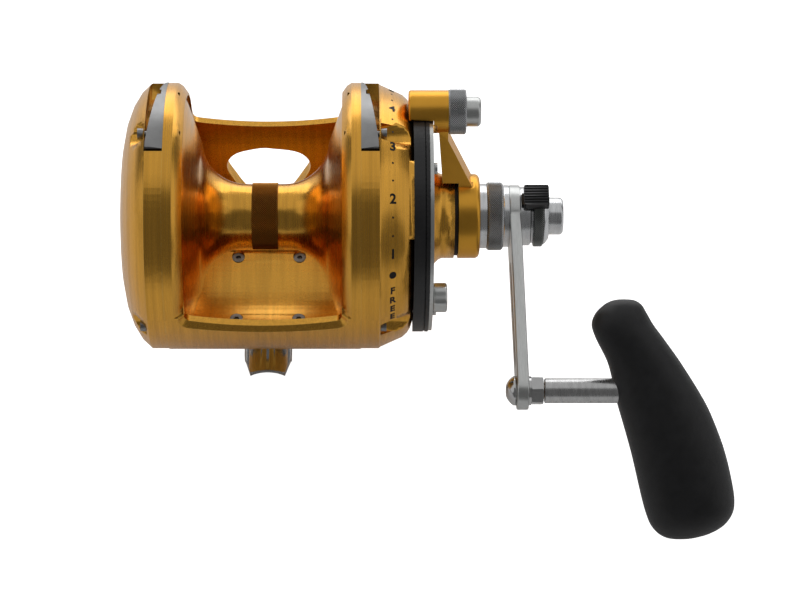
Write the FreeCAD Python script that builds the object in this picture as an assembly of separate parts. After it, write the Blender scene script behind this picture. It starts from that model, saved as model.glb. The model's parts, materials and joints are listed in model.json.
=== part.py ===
"""Two-speed lever-drag trolling reel, 50 lb wide class, in millimetres.

The row frame has X along the spool axis towards the handle, Y forward along the rod and Z up.
Its origin is on the rod's centreline, under the middle of the spool. Every function below models
its piece about the spool axis, and save() lifts it to its place above the rod.
Angles are degrees about X, from +Y (0) through straight up (90) to the angler (180).
"""
import FreeCAD
import Part
import math
import os

V = FreeCAD.Vector

# ---- driving dimensions -------------------------------------------------------------------
ROD_R = 12.0            # radius of the rod's reel seat, which the foot saddles
AXIS_HEIGHT = 80.0      # spool axis above the rod's centreline
RING_R = 60.0           # outer radius of the frame rings and of the base shell
RING_HALF = 43.0        # half width of the frame over its rings
RING_WIDTH = 8.4        # width of one ring along X
RING_LAND = 4.2         # flat part of a ring's rim, outside its two bevels
SHELL_WALL = 5.5        # wall of the base shell and radial wall of the rings
EDGE_BEVEL = 2.6        # bevel along the shell's free edges
FLANGE_R = 53.2         # spool flange radius
FLANGE_RIM = 35.5       # where the inside of a spool flange meets its rim
SPOOL_HALF = 37.5       # half width over the spool flanges
ARBOR_R = 14.5          # radius of the spool arbor
ARBOR_FLAT = 9.0        # half length of the straight middle of the arbor
BAND_HALF = 5.8         # half width of the knurled arbor band
SHAFT_R = 4.0           # spool shaft radius
RUN = 0.03              # radial clearance of a running fit
GAP = 0.4               # gap between pieces that pass each other
COVER_WALL = 3.4        # wall of the side covers
LEFT_END = -64.2        # outermost point of the left cover
RIGHT_FACE = 66.0       # outer face of the right cover, which carries the quadrant
RIM_END = 51.0          # end of the right cover's straight rim, where its scale cone starts
BOSS_R = 19.0           # central boss of the right cover, and the lever hub
BOSS_END = 84.8         # end of that boss
MODULE = 1.0            # gear module
HIGH_TEETH = (42, 14)   # main gear and pinion of the high speed
LOW_TEETH = (32, 24)    # main gear and pinion of the low speed
CRANK_TURN = -50.0      # direction of the crank shaft from the spool axis
CRANK_R = 5.0           # crank shaft radius
CRANK_LENGTH = 100.0    # crank shaft to grip pin
ARM_START = 111.2       # inner face of the crank arm
ARM_THICK = 5.2
LEVER_ANGLE = 67.6      # where the drag lever stands, just past the fourth mark
LEVER_R = 52.0          # radius of the lever's barrel axis
BARREL_R = 9.5
BARREL_START = 64.0
BARREL_END = 81.5
QUADRANT_R = (44.0, 52.5)
QUADRANT_WIDTH = 7.0
QUADRANT_ARC = (14.0, 211.0)
STOP_ANGLE = 179.0      # the post that the lever meets at its free end
STOP_R = 47.5
SCREW_ANGLES = (91.0, 188.5, 279.0, 1.0)
SCREW_CIRCLE = 56.6
SCALLOP_R = 5.0         # round scallop in a cover's cone at each screw
FOOT_HALF = 38.0        # half length of the reel foot
FOOT_SCREW_X = 14.4
FOOT_SCREW_Y = 18.2
LUG_ARC = (44.0, 101.0)
LUG_EYE_ANGLE = 64.0
LUG_EYE_R = 2.6
LUG_EYE_WALL = 2.2
LUG_WIDTH = 7.6
GRIP_PIN_R = 3.0
SPINDLE_R = 5.5

# ---- sizes worked out from those ----------------------------------------------------------
SHELL_R = RING_R - SHELL_WALL
CENTRES = MODULE * sum(HIGH_TEETH) / 2
CRANK_Y = CENTRES * math.cos(math.radians(CRANK_TURN))
CRANK_Z = CENTRES * math.sin(math.radians(CRANK_TURN))
GRIP_Y = CRANK_Y - CRANK_LENGTH
ARM_END = ARM_START + ARM_THICK
CAVITY_R = RING_R - 9.2                     # inside radius of the right cover's gear case
CAVITY_END = RIGHT_FACE - COVER_WALL
HIGH_X = (46.5, 52.5)                       # along X: the high-speed gears
LOW_X = (53.5, 58.5)                        # along X: the low-speed gears
BRIDGE_X = (43.6, 45.6)
WASHER_X = (36.4, 38.0)                     # drag washer, let into the spool's right face
PLATE_X = (38.35, 41.6)                      # drag plate
PLATE_R = FLANGE_R - 4.2
HUB_X = (86.6, 96.3)                        # lever hub
NOSE_R = 9.0                                # the tube that the lever hub turns on
KNOB_X = (95.2, 99.6, 106.9)                # preset knob: sleeve start, knurl start, end
SHIFT_X = (ARM_END, ARM_END + 4.8, ARM_END + 13.1, ARM_END + 19.9)


# ---- helpers ------------------------------------------------------------------------------
def at(x, radius, angle, y=0.0, z=0.0):
    """The point at this radius and angle about an axis along X through (y, z)."""
    turn = math.radians(angle)
    return V(x, y + radius * math.cos(turn), z + radius * math.sin(turn))


def tube(x0, x1, outer, inner=0.0, y=0.0, z=0.0):
    """A round bar or tube along X."""
    bar = Part.makeCylinder(outer, x1 - x0, V(x0, y, z), V(1, 0, 0))
    if inner > 0:
        bar = bar.cut(Part.makeCylinder(inner, x1 - x0 + 2, V(x0 - 1, y, z), V(1, 0, 0)))
    return bar


def turned(profile, y=0.0, z=0.0):
    """Turns a closed outline of (x, radius) points about an axis along X through (y, z)."""
    points = [V(x, y + radius, z) for x, radius in profile]
    face = Part.Face(Part.makePolygon(points + points[:1]))
    return face.revolve(V(0, y, z), V(1, 0, 0), 360)


def sector(x0, x1, outer, inner, start, end):
    """The part of a tube about the spool axis from the start angle to the end angle."""
    corners = [(x0, inner), (x1, inner), (x1, outer), (x0, outer)]
    points = [at(x, radius, start) for x, radius in corners]
    face = Part.Face(Part.makePolygon(points + points[:1]))
    return face.revolve(V(0, 0, 0), V(1, 0, 0), end - start)


def turn_about_x(shape, angle, y=0.0, z=0.0):
    copy = shape.copy()
    copy.rotate(V(0, y, z), V(1, 0, 0), angle)
    return copy


def joined(shapes):
    whole = shapes[0]
    for shape in shapes[1:]:
        whole = whole.fuse(shape)
    return whole.removeSplitter()


def save(name, *shapes):
    """Writes one node, whose solids stand apart if there are several."""
    solids = [solid for shape in shapes for solid in shape.Solids]
    node = Part.Compound(solids) if len(solids) > 1 else solids[0].copy()
    node.translate(V(0, 0, AXIS_HEIGHT))
    assert node.isValid() and all(solid.Volume > 0 for solid in node.Solids), name
    node.exportStep("parts/" + name + ".step")


def ball_bearing(x0, x1, outer, inner, y=0.0, z=0.0, balls=9):
    """Outer race, inner race and a row of balls, with the balls free between the races."""
    race = (outer - inner) * 0.24
    ball_r = (outer - inner - 2 * race) / 2 - 0.02
    middle = (outer + inner) / 2
    pieces = [tube(x0, x1, outer, outer - race, y, z), tube(x0, x1, inner + race, inner, y, z)]
    for index in range(balls):
        centre = at((x0 + x1) / 2, middle, index * 360 / balls, y, z)
        pieces.append(Part.makeSphere(ball_r, centre))
    return pieces


def involute(angle):
    return math.tan(angle) - angle


def gear(teeth, x0, x1, bore, y, z, tooth_at):
    """A spur gear of 25 degree involute teeth, thinned for backlash, with a tooth at tooth_at."""
    pressure = math.radians(25)
    backlash = 0.16
    pitch = MODULE * teeth / 2
    base = pitch * math.cos(pressure)
    tip = pitch + 0.88 * MODULE
    root = pitch - 1.15 * MODULE
    half = math.pi / (2 * teeth) - backlash / (2 * pitch) + involute(pressure)
    start = max(base, root)
    flank = [(start + (tip - start) * step / 4) for step in range(5)]
    side = [(radius, half - involute(math.acos(min(1.0, base / radius)))) for radius in flank]
    if root < start:
        side.insert(0, (root, side[0][1]))
    points = []
    for tooth in range(teeth):
        middle = math.radians(tooth_at) + 2 * math.pi * tooth / teeth
        for radius, spread in side:
            points.append((radius, middle - spread))
        for radius, spread in reversed(side):
            points.append((radius, middle + spread))
    outline = [V(x0, y + r * math.cos(a), z + r * math.sin(a)) for r, a in points]
    blank = Part.Face(Part.makePolygon(outline + outline[:1])).extrude(V(x1 - x0, 0, 0))
    return blank.cut(tube(x0 - 1, x1 + 1, bore, 0, y, z))


def cap_screw(x0, head_x, head_end, shank_r, head_r, y, z):
    """A socket screw along X with its shank from x0 and its head from head_x to head_end."""
    head = tube(min(head_x, head_end), max(head_x, head_end), head_r, 0, y, z)
    shank = tube(min(x0, head_x), max(x0, head_x), shank_r, 0, y, z)
    depth = 0.6 * (head_end - head_x)
    socket = Part.makePolygon([at(head_end - depth, shank_r * 0.85, 60 * k, y, z) for k in range(7)])
    return head.fuse(shank).cut(Part.Face(socket).extrude(V(depth * 1.2, 0, 0))).removeSplitter()


def bar_between(points, thickness):
    """A plate in the plane of X and Z, from an (x, z) outline, centred on Y = 0."""
    outline = [V(x, -thickness / 2, z) for x, z in points]
    return Part.Face(Part.makePolygon(outline + outline[:1])).extrude(V(0, thickness, 0))


# ---- frame and foot -----------------------------------------------------------------------
def edge_opening(side, y0, y1, dip_r, dip_z, grow):
    """The space above one free edge of the shell, with round lower corners, from y0 to y1."""
    half = RING_HALF - RING_WIDTH + grow
    near, far = min(y0, y1), max(y0, y1)
    round_side = Part.makeCylinder(dip_r + grow, far - near, V(0, near, dip_z + dip_r), V(0, 1, 0))
    slab = Part.makeBox(2 * half, far - near, 60, V(-half, near, dip_z - grow - 1))
    space = round_side.common(slab)
    corners = [e for e in space.Edges if e.BoundBox.YLength > 0.9 * (far - near)
               and abs(abs(e.CenterOfMass.x) - half) < 0.01 and e.CenterOfMass.z < dip_z + 20]
    return space.makeFillet(3.6 + grow, corners)


def frame():
    """One piece: two rings joined by a shell that runs under the spool and up its front."""
    inner_edge = RING_HALF - RING_WIDTH
    parts = []
    for side in (-1, 1):
        parts.append(turned([
            (side * RING_HALF, SHELL_R), (side * RING_HALF, RING_R),
            (side * (RING_HALF - RING_LAND), RING_R), (side * (inner_edge + 2.2), RING_R - 1.3),
            (side * inner_edge, RING_R - 4.4), (side * inner_edge, SHELL_R)]))
    # Where the shell joins the rings it fills their bevels too.
    parts.append(sector(-inner_edge - 0.1, inner_edge + 0.1, RING_R, SHELL_R, -186, 8))
    parts.append(sector(1 - RING_HALF, RING_HALF - 1, RING_R, SHELL_R, -181.6, 3.0))
    whole = joined(parts)
    # The shell's two free edges dip in the middle, where a thumb guides the line, and are bevelled.
    for side, dip_r, dip_z in ((1, 170, -0.2), (-1, 150, -6.6)):
        opening = edge_opening(side, 10 * side, 70 * side, dip_r, dip_z, 0)
        whole = whole.cut(opening)
        foot_y = side * (RING_R - EDGE_BEVEL)
        wires = []
        for grow in (0, 1.6 * EDGE_BEVEL):
            slice_y = foot_y + side * grow
            thin = edge_opening(side, slice_y, slice_y + side, dip_r, dip_z, grow)
            end = [f for f in thin.Faces if abs(f.CenterOfMass.y - slice_y) < 0.01][0]
            wires.append(end.OuterWire)
        whole = whole.cut(Part.makeLoft(wires, True, True))
    # Window through the front wall: a low arch, narrower towards the foot.
    arch = Part.BSplineCurve()
    half = [(0, -13.6), (9.5, -14.7), (17.5, -18.2), (19.6, -22.0), (16.0, -29.0), (10.5, -35.0), (0, -37.4)]
    points = half + [(-x, z) for x, z in reversed(half[1:-1])]
    arch.interpolate([V(x, 25, z) for x, z in points], PeriodicFlag=True)
    hole = Part.Face(Part.Wire(arch.toShape())).extrude(V(0, 50, 0))
    whole = whole.cut(hole)
    for x, y in foot_screw_places():
        whole = whole.cut(Part.makeCylinder(1.7, 20, V(x, y, -RING_R - 2)))
        whole = whole.cut(Part.makeCylinder(3.0, 20, V(x, y, screw_seat_z())))
    for angle in SCREW_ANGLES:
        place = at(0, SCREW_CIRCLE, angle)
        whole = whole.cut(tube(-RING_HALF - 1, RING_HALF + 1, 1.3, 0, place.y, place.z)
                          .cut(tube(-inner_edge - 1, inner_edge + 1, 2, 0, place.y, place.z)))
    # A blind hole behind each harness eye lets a hook's point through.
    eye = at(0, RING_R - 3.7, LUG_EYE_ANGLE)
    for x0 in (-RING_HALF - 0.5, RING_HALF - 6.0):
        whole = whole.cut(tube(x0, x0 + 6.5, LUG_EYE_R + 0.6, 0, eye.y, eye.z))
    save("frame", whole.removeSplitter())


def foot_screw_places():
    return [(x, y) for x in (-FOOT_SCREW_X, FOOT_SCREW_X) for y in (-FOOT_SCREW_Y, FOOT_SCREW_Y)]


def screw_seat_z():
    """Height of the foot screws' seats, a little under the shell's inside at the screws."""
    return -math.sqrt(SHELL_R ** 2 - FOOT_SCREW_Y ** 2) - 2.6


def reel_foot():
    """An arched bar along the rod, on a saddle that four screws hold under the frame."""
    plate = 3.2
    rod_z = ROD_R - AXIS_HEIGHT - ROD_R
    crown = rod_z + ROD_R + plate
    arch = Part.makeCylinder(ROD_R + plate, 2 * FOOT_HALF, V(0, -FOOT_HALF, rod_z), V(0, 1, 0))
    wide, end, straight = 11.0, 8.0, 26.0
    plan = [(-end, -FOOT_HALF), (end, -FOOT_HALF), (wide, -straight), (wide, straight),
            (end, FOOT_HALF), (-end, FOOT_HALF), (-wide, straight), (-wide, -straight)]
    outline = [V(x, y, rod_z + 2) for x, y in plan]
    blank = Part.Face(Part.makePolygon(outline + outline[:1])).extrude(V(0, 0, 40))
    bar = arch.common(blank)
    saddle = Part.makeBox(38, 44, 12, V(-19, -22, -RING_R - 4.2))
    saddle = saddle.makeFillet(5, [e for e in saddle.Edges if abs(e.tangentAt(0).z) > 0.9])
    neck = Part.makeBox(18, 44, 8, V(-9, -22, crown - 1.5))
    whole = joined([bar, saddle, neck])
    whole = whole.cut(tube(-60, 60, RING_R + 0.02))
    whole = whole.cut(Part.makeCylinder(ROD_R, 2 * straight, V(0, -straight, rod_z), V(0, 1, 0)))
    # Past the straight saddle the arch opens a little, so that a seat's hood slides on.
    for y0 in (-FOOT_HALF - 1, straight):
        whole = whole.cut(Part.makeCylinder(ROD_R + 0.8, FOOT_HALF - straight + 1, V(0, y0, rod_z), V(0, 1, 0)))
    for x, y in foot_screw_places():
        whole = whole.cut(Part.makeCylinder(1.62, 30, V(x, y, -RING_R - 12)))
    save("reel_foot", whole)
    screws = []
    for x, y in foot_screw_places():
        head = Part.makeCylinder(2.8, 2.0, V(x, y, screw_seat_z()))
        slot = Part.Face(Part.makePolygon([
            V(x + 1.3 * math.cos(math.radians(60 * k)), y + 1.3 * math.sin(math.radians(60 * k)),
              screw_seat_z() + 0.8) for k in range(7)])).extrude(V(0, 0, 3))
        shank = Part.makeCylinder(1.6, 9.0, V(x, y, screw_seat_z() - 9.0))
        screws.append(head.fuse(shank).cut(slot).removeSplitter())
    save("foot_screws", *screws)


# ---- side covers --------------------------------------------------------------------------
def lug_pocket(side):
    x0 = RING_HALF if side > 0 else -RING_HALF - LUG_WIDTH - 0.4
    return sector(x0, x0 + LUG_WIDTH + 0.4, RING_R + 5, RING_R - 7.6, LUG_ARC[0] - 1.2, LUG_ARC[1] + 1)


def screw_cuts(cover, side):
    """Through holes, and open scallops in the cone for the heads."""
    for angle in SCREW_ANGLES:
        place = at(0, SCREW_CIRCLE, angle)
        ends = sorted((side * (RING_HALF - 1), side * 90))
        seat = sorted((side * (RIM_END + 0.6), side * 90))
        cover = cover.cut(tube(ends[0], ends[1], 1.35, 0, place.y, place.z))
        cover = cover.cut(tube(seat[0], seat[1], SCALLOP_R, 0, place.y, place.z))
    return cover


def cover_screws(side):
    screws = []
    for angle in SCREW_ANGLES:
        place = at(0, SCREW_CIRCLE, angle)
        screws.append(cap_screw(side * (RING_HALF - 6), side * (RIM_END + 0.6), side * (RIM_END + 3.2),
                                1.28, 2.5, place.y, place.z))
    return screws


def left_cover():
    """A domed shell over the click gear, with a boss inside for the end of the spool shaft."""
    seam, rim = -RING_HALF, -RIM_END + 0.4
    outside = [(seam, RING_R - 0.3), (rim, RING_R - 0.3), (-54.6, 56.0), (-58.2, 50.2), (-60.9, 43.0),
               (-62.7, 34.0), (-63.7, 23.0), (LEFT_END, 10.0), (LEFT_END, 0)]
    inside = [(LEFT_END + COVER_WALL, 0), (LEFT_END + COVER_WALL, 10.0), (-60.2, 23.0), (-59.3, 33.0),
              (-57.2, 41.5), (-54.0, 48.0), (-50.0, CAVITY_R), (seam, CAVITY_R)]
    cover = turned(outside + inside)
    boss = tube(LEFT_END + COVER_WALL - 0.6, -46, 12.0)
    cover = cover.fuse(boss).cut(tube(-58, -45, SHAFT_R + 0.3)).cut(tube(-53, -45, 9.5))
    cover = cover.cut(lug_pocket(-1))
    cover = screw_cuts(cover, -1)
    slot = Part.makeBox(18, 14.6, 5.2, V(-70, 31.0, -2.6))
    slideway = Part.makeBox(8, 16.0, 10.4, V(-70.2, 30.6, -5.2))
    cover = cover.cut(turn_about_x(slot, CLICK_ANGLE)).cut(turn_about_x(slideway, CLICK_ANGLE))
    save("left_cover", cover.removeSplitter())
    save("left_cover_screws", *cover_screws(-1))
    save("shaft_bearing", *ball_bearing(-52.9, -47, 9.48, SHAFT_R + RUN))


CLICK_ANGLE = 310.0     # where the click button stands on the left cover
CLICK_TIP = 31.8        # inner end of the click pawl with the click off
CLICK_WHEEL_R = 27.0


def clicker():
    """The button slides in the cover's slot and carries the pawl to the click gear."""
    cap = Part.makeBox(2.4, 9.0, 9.0, V(-64.7, 36.6, -4.5))
    cap = cap.makeFillet(0.8, [e for e in cap.Edges if e.BoundBox.XMax < -64.6])
    for step in range(4):
        cap = cap.cut(Part.makeBox(0.7, 0.7, 10, V(-64.9, 37.9 + 1.9 * step, -5)))
    stem = Part.makeBox(20.9, 7.0, 4.4, V(-62.9, 37.6, -2.2))
    cap = cap.fuse(stem).removeSplitter()
    nose = [V(-42.0, 44, -2.2), V(-42.0, CLICK_TIP + 2, -2.2), V(-42.0, CLICK_TIP, 0),
            V(-42.0, CLICK_TIP + 2, 2.2), V(-42.0, 44, 2.2)]
    pawl = Part.Face(Part.makePolygon(nose + nose[:1])).extrude(V(2.8, 0, 0))
    save("click_button", turn_about_x(cap, CLICK_ANGLE), turn_about_x(pawl, CLICK_ANGLE))
    notches = 24
    wheel = tube(-40.6, -SPOOL_HALF - 0.1, CLICK_WHEEL_R, 12.4)
    for index in range(notches):
        place = at(0, CLICK_WHEEL_R + 1.0, index * 360 / notches)
        wheel = wheel.cut(tube(-42, -36, 2.4, 0, place.y, place.z))
    save("click_gear", wheel)


def right_cover():
    """The gear case: its cone carries the drag scale and its boss carries the lever."""
    outside = [(RING_HALF, RING_R - 0.3), (RIM_END, RING_R - 0.3), (RIM_END + 0.8, 59.0), (61.6, 54.6),
               (63.8, 52.6), (65.2, 50.4), (RIGHT_FACE, 47.6), (RIGHT_FACE, 36.0), (70.0, 28.5),
               (74.5, 23.0), (78.0, BOSS_R + 0.6), (79.4, BOSS_R), (BOSS_END, BOSS_R),
               (BOSS_END, NOSE_R), (93.6, NOSE_R), (93.6, SHAFT_R + 0.3)]
    inside = [(76.0, SHAFT_R + 0.3), (76.0, 9.4), (66.2, 9.4), (66.2, 12.0), (60.2, 12.0), (60.2, 15.5),
              (CAVITY_END, 15.5), (CAVITY_END, CAVITY_R - 6), (58.0, CAVITY_R - 1.4),
              (54.0, CAVITY_R), (RING_HALF, CAVITY_R)]
    cover = turned(outside + inside)
    sleeve = tube(CAVITY_END - 0.5, 84.0, 8.7, 0, CRANK_Y, CRANK_Z)
    rib = sector(58, RIGHT_FACE, QUADRANT_R[1], 47, 103, 141)
    cover = cover.fuse(sleeve).fuse(rib)
    for angle in BRIDGE_POSTS:
        place = at(0, 43.0, angle)
        cover = cover.fuse(tube(BRIDGE_X[1], CAVITY_END + 1, 3.6, 0, place.y, place.z))
        cover = cover.cut(tube(BRIDGE_X[1] - 1, BRIDGE_X[1] + 9, 1.25, 0, place.y, place.z))
    cover = cover.cut(tube(CAVITY_END - 2, 82.2, 7.6, 0, CRANK_Y, CRANK_Z))
    cover = cover.cut(tube(80, 86, CRANK_R + 0.5, 0, CRANK_Y, CRANK_Z))
    cover = cover.cut(tube(92.3, 93.1, NOSE_R + 1, NOSE_R - 0.7))
    for angle in QUADRANT_SCREWS:
        place = at(0, 47.0, angle)
        cover = cover.cut(tube(RIGHT_FACE - 3, RIGHT_FACE + 1, 1.05, 0, place.y, place.z))
    cover = cover.cut(lug_pocket(1))
    save("right_cover", screw_cuts(cover, 1).removeSplitter())
    save("right_cover_screws", *cover_screws(1))
    bridge = tube(BRIDGE_X[0], BRIDGE_X[1], CAVITY_R - 0.1, 11.4)
    bridge = bridge.cut(tube(BRIDGE_X[0] - 1, BRIDGE_X[1] + 1, 6.4, 0, CRANK_Y, CRANK_Z))
    screws = []
    for angle in BRIDGE_POSTS:
        place = at(0, 43.0, angle)
        bridge = bridge.cut(tube(BRIDGE_X[0] - 1, BRIDGE_X[1] + 1, 1.3, 0, place.y, place.z))
        screws.append(cap_screw(BRIDGE_X[1] + 7, BRIDGE_X[0], BRIDGE_X[0] - 1.4, 1.22, 2.4, place.y, place.z))
    save("gear_bridge", bridge)
    save("bridge_screws", *screws)
    save("crank_bush", tube(BRIDGE_X[0], BRIDGE_X[1], 6.38, CRANK_R + RUN, CRANK_Y, CRANK_Z))
    save("crank_bearing", *ball_bearing(75.6, 82.0, 7.58, CRANK_R + RUN, CRANK_Y, CRANK_Z, 11))
    roller_r = 0.55
    rollers = [tube(66.4, 74.6, roller_r, 0, p.y, p.z) for p in
               (at(0, CRANK_R + roller_r + 0.06, 30 * k, CRANK_Y, CRANK_Z) for k in range(12))]
    save("anti_reverse_bearing", tube(66.0, 75.0, 7.58, 6.3, CRANK_Y, CRANK_Z), *rollers)
    save("drive_bearing", *ball_bearing(60.4, 66.0, 11.98, 6 + RUN, balls=10))


BRIDGE_POSTS = (60.0, 130.0, 200.0)
QUADRANT_SCREWS = (20.0, 104.0, 192.0)


def harness_lug(side):
    """A steel lug let into the rim beside the seam: a wedge, with an eye through its thin end."""
    start, end = LUG_ARC
    middle = (start + end) / 2
    lug = sector(*sorted((side * (RING_HALF + 0.05), side * (RING_HALF + LUG_WIDTH))),
                 RING_R + 0.2, RING_R - 7.4, start, end)
    half = RING_R * math.sin(math.radians(end - middle))
    thin, thick = side * (RING_HALF + 1.0), side * (RING_HALF + LUG_WIDTH)
    outer = side * (RING_HALF + LUG_WIDTH + 9)
    outline = [V(thin, half, 45), V(thick, 3 - half, 45), V(thick, -half - 9, 45),
               V(outer, -half - 9, 45), V(outer, half + 9, 45), V(thin, half + 9, 45)]
    slope = Part.Face(Part.makePolygon(outline + outline[:1])).extrude(V(0, 0, 20))
    lug = lug.cut(turn_about_x(slope, middle - 90))
    eye = at(0, RING_R - 3.7, LUG_EYE_ANGLE)
    face = side * (RING_HALF + LUG_EYE_WALL)
    lug = lug.cut(tube(*sorted((face, outer)), 4.6, 0, eye.y, eye.z))
    lug = lug.cut(tube(*sorted((side * RING_HALF, outer)), LUG_EYE_R, 0, eye.y, eye.z))
    screw = at(0, SCREW_CIRCLE, SCREW_ANGLES[0])
    lug = lug.cut(tube(*sorted((side * RING_HALF, outer)), 1.35, 0, screw.y, screw.z))
    return lug.removeSplitter()


# ---- quadrant and lever -------------------------------------------------------------------
def quadrant():
    """The arc that the lever's barrel rides on, its steel face plate, screws and end stop."""
    start, end = QUADRANT_ARC
    x0 = RIGHT_FACE + 0.05
    x1 = x0 + QUADRANT_WIDTH
    low, high = QUADRANT_R
    arc = sector(x0, x1, high, low, start, end)
    arc = arc.cut(sector(x1 - 2.2, x1 - 1.6, high + 1, high - 0.4, start - 1, end + 1))
    plate = sector(x1, x1 + 1.6, high - 0.5, low - 1.5, start + 1, end - 0.6)
    screws = []
    for angle in QUADRANT_SCREWS:
        place = at(0, 47.0, angle)
        arc = arc.cut(tube(x0 - 1, x1 + 1, 1.05, 0, place.y, place.z))
        plate = plate.cut(tube(x1 - 1, x1 + 3, 1.05, 0, place.y, place.z))
        screws.append(cap_screw(RIGHT_FACE - 2, x1 + 1.6, x1 + 3.2, 1.02, 2.5, place.y, place.z))
    post = at(0, STOP_R, STOP_ANGLE)
    plate = plate.cut(tube(x1 - 1, x1 + 3, 2.6, 0, post.y, post.z))
    arc = arc.cut(tube(x1 - 4, x1 + 1, 2.6, 0, post.y, post.z))
    head = tube(x1 + 1.6, x1 + 7.8, 6.5, 0, post.y, post.z)
    rim = [e for e in head.Edges if e.Closed and abs(e.Vertexes[0].X - x1 - 7.8) < 0.01]
    head = head.makeFillet(1.6, rim)
    stem = tube(x1 - 3.6, x1 + 1.6, 2.5, 0, post.y, post.z)
    save("drag_quadrant", arc)
    save("quadrant_plate", plate)
    save("quadrant_screws", *screws)
    save("free_stop", head.fuse(stem).removeSplitter())


def drag_lever():
    """Hub, arm and barrel in one piece. The barrel is cut away where it rides the quadrant."""
    hub = tube(HUB_X[0], HUB_X[1], BOSS_R)
    rims = [e for e in hub.Edges if e.Closed and abs(e.Vertexes[0].X - HUB_X[1]) < 0.01]
    hub = hub.makeFillet(2.2, rims)
    left = 79.4
    arm = bar_between([(left, BOSS_R + 0.8), (left - 2.2, LEVER_R - 5), (BARREL_END, LEVER_R - 2),
                       (BARREL_END, LEVER_R - 11), (93.6, BOSS_R - 3), (93.6, 11.0), (HUB_X[0], 11.0),
                       (HUB_X[0], BOSS_R + 0.8)], 13.0)
    barrel = tube(BARREL_START, BARREL_END, BARREL_R, 0, 0, LEVER_R)
    ends = [e for e in barrel.Edges if e.Closed and abs(e.Vertexes[0].X - BARREL_START) < 0.01]
    barrel = barrel.makeFillet(1.0, ends)
    lever = joined([hub, arm, barrel])
    lever = lever.cut(tube(HUB_X[0] - 1, HUB_X[1] + 1, NOSE_R + RUN))
    lever = lever.cut(tube(92.2, HUB_X[1] + 1, 15.0))
    lever = lever.cut(tube(HUB_X[0] - 1, HUB_X[0] + 2.6, 13.2))
    # Clear of the quadrant, its plate and screws, and of the cover's cone.
    lever = lever.cut(tube(50, RIGHT_FACE + 0.05 + QUADRANT_WIDTH + 1.6 + GAP, QUADRANT_R[1] + GAP))
    lever = lever.cut(tube(70, RIGHT_FACE + 0.05 + QUADRANT_WIDTH + 3.2 + GAP, 50.2, 43.8))
    lever = lever.cut(tube(76.0, BARREL_END + 1, 5.1, 0, 0, LEVER_R))
    head = BARREL_END + 6.0
    button = turned([(78.2, 0), (78.2, 5.0), (head, 5.0), (head, 6.6), (94.8, 6.6), (95.6, 6.3),
                     (96.0, 5.6), (96.0, 0)], 0, LEVER_R)
    collar = turned([(BARREL_END, 10.1), (88.6, 10.1), (89.4, 9.3), (89.4, 6.8), (BARREL_END, 6.8)],
                    0, LEVER_R)
    turn = LEVER_ANGLE - 90
    save("drag_lever", turn_about_x(lever.removeSplitter(), turn))
    save("lever_collar", turn_about_x(collar, turn))
    save("lever_button", turn_about_x(button, turn))
    leaves = wave_spring(BARREL_END + 0.1, head - 0.1, 6.5, 1.2, 7, 0, LEVER_R)
    save("lever_button_spring", *[turn_about_x(leaf, turn) for leaf in leaves])
    save("lever_cam", tube(HUB_X[0] + 0.1, HUB_X[0] + 2.5, 13.15, NOSE_R + 0.3))
    save("hub_seal", tube(BOSS_END, BOSS_END + 1.5, 17.8, NOSE_R + 0.2))
    clip = sector(92.35, 93.05, 10.4, NOSE_R - 0.65, 20, 340)
    save("hub_circlip", clip)


def wave_spring(x0, x1, radius, width, leaves, y, z):
    """The thin leaves of a flat wire spring, spread evenly from x0 to x1."""
    step = (x1 - x0 - 0.3) / (leaves - 1)
    return [tube(x0 + step * k, x0 + step * k + 0.3, radius, radius - width, y, z) for k in range(leaves)]


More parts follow.
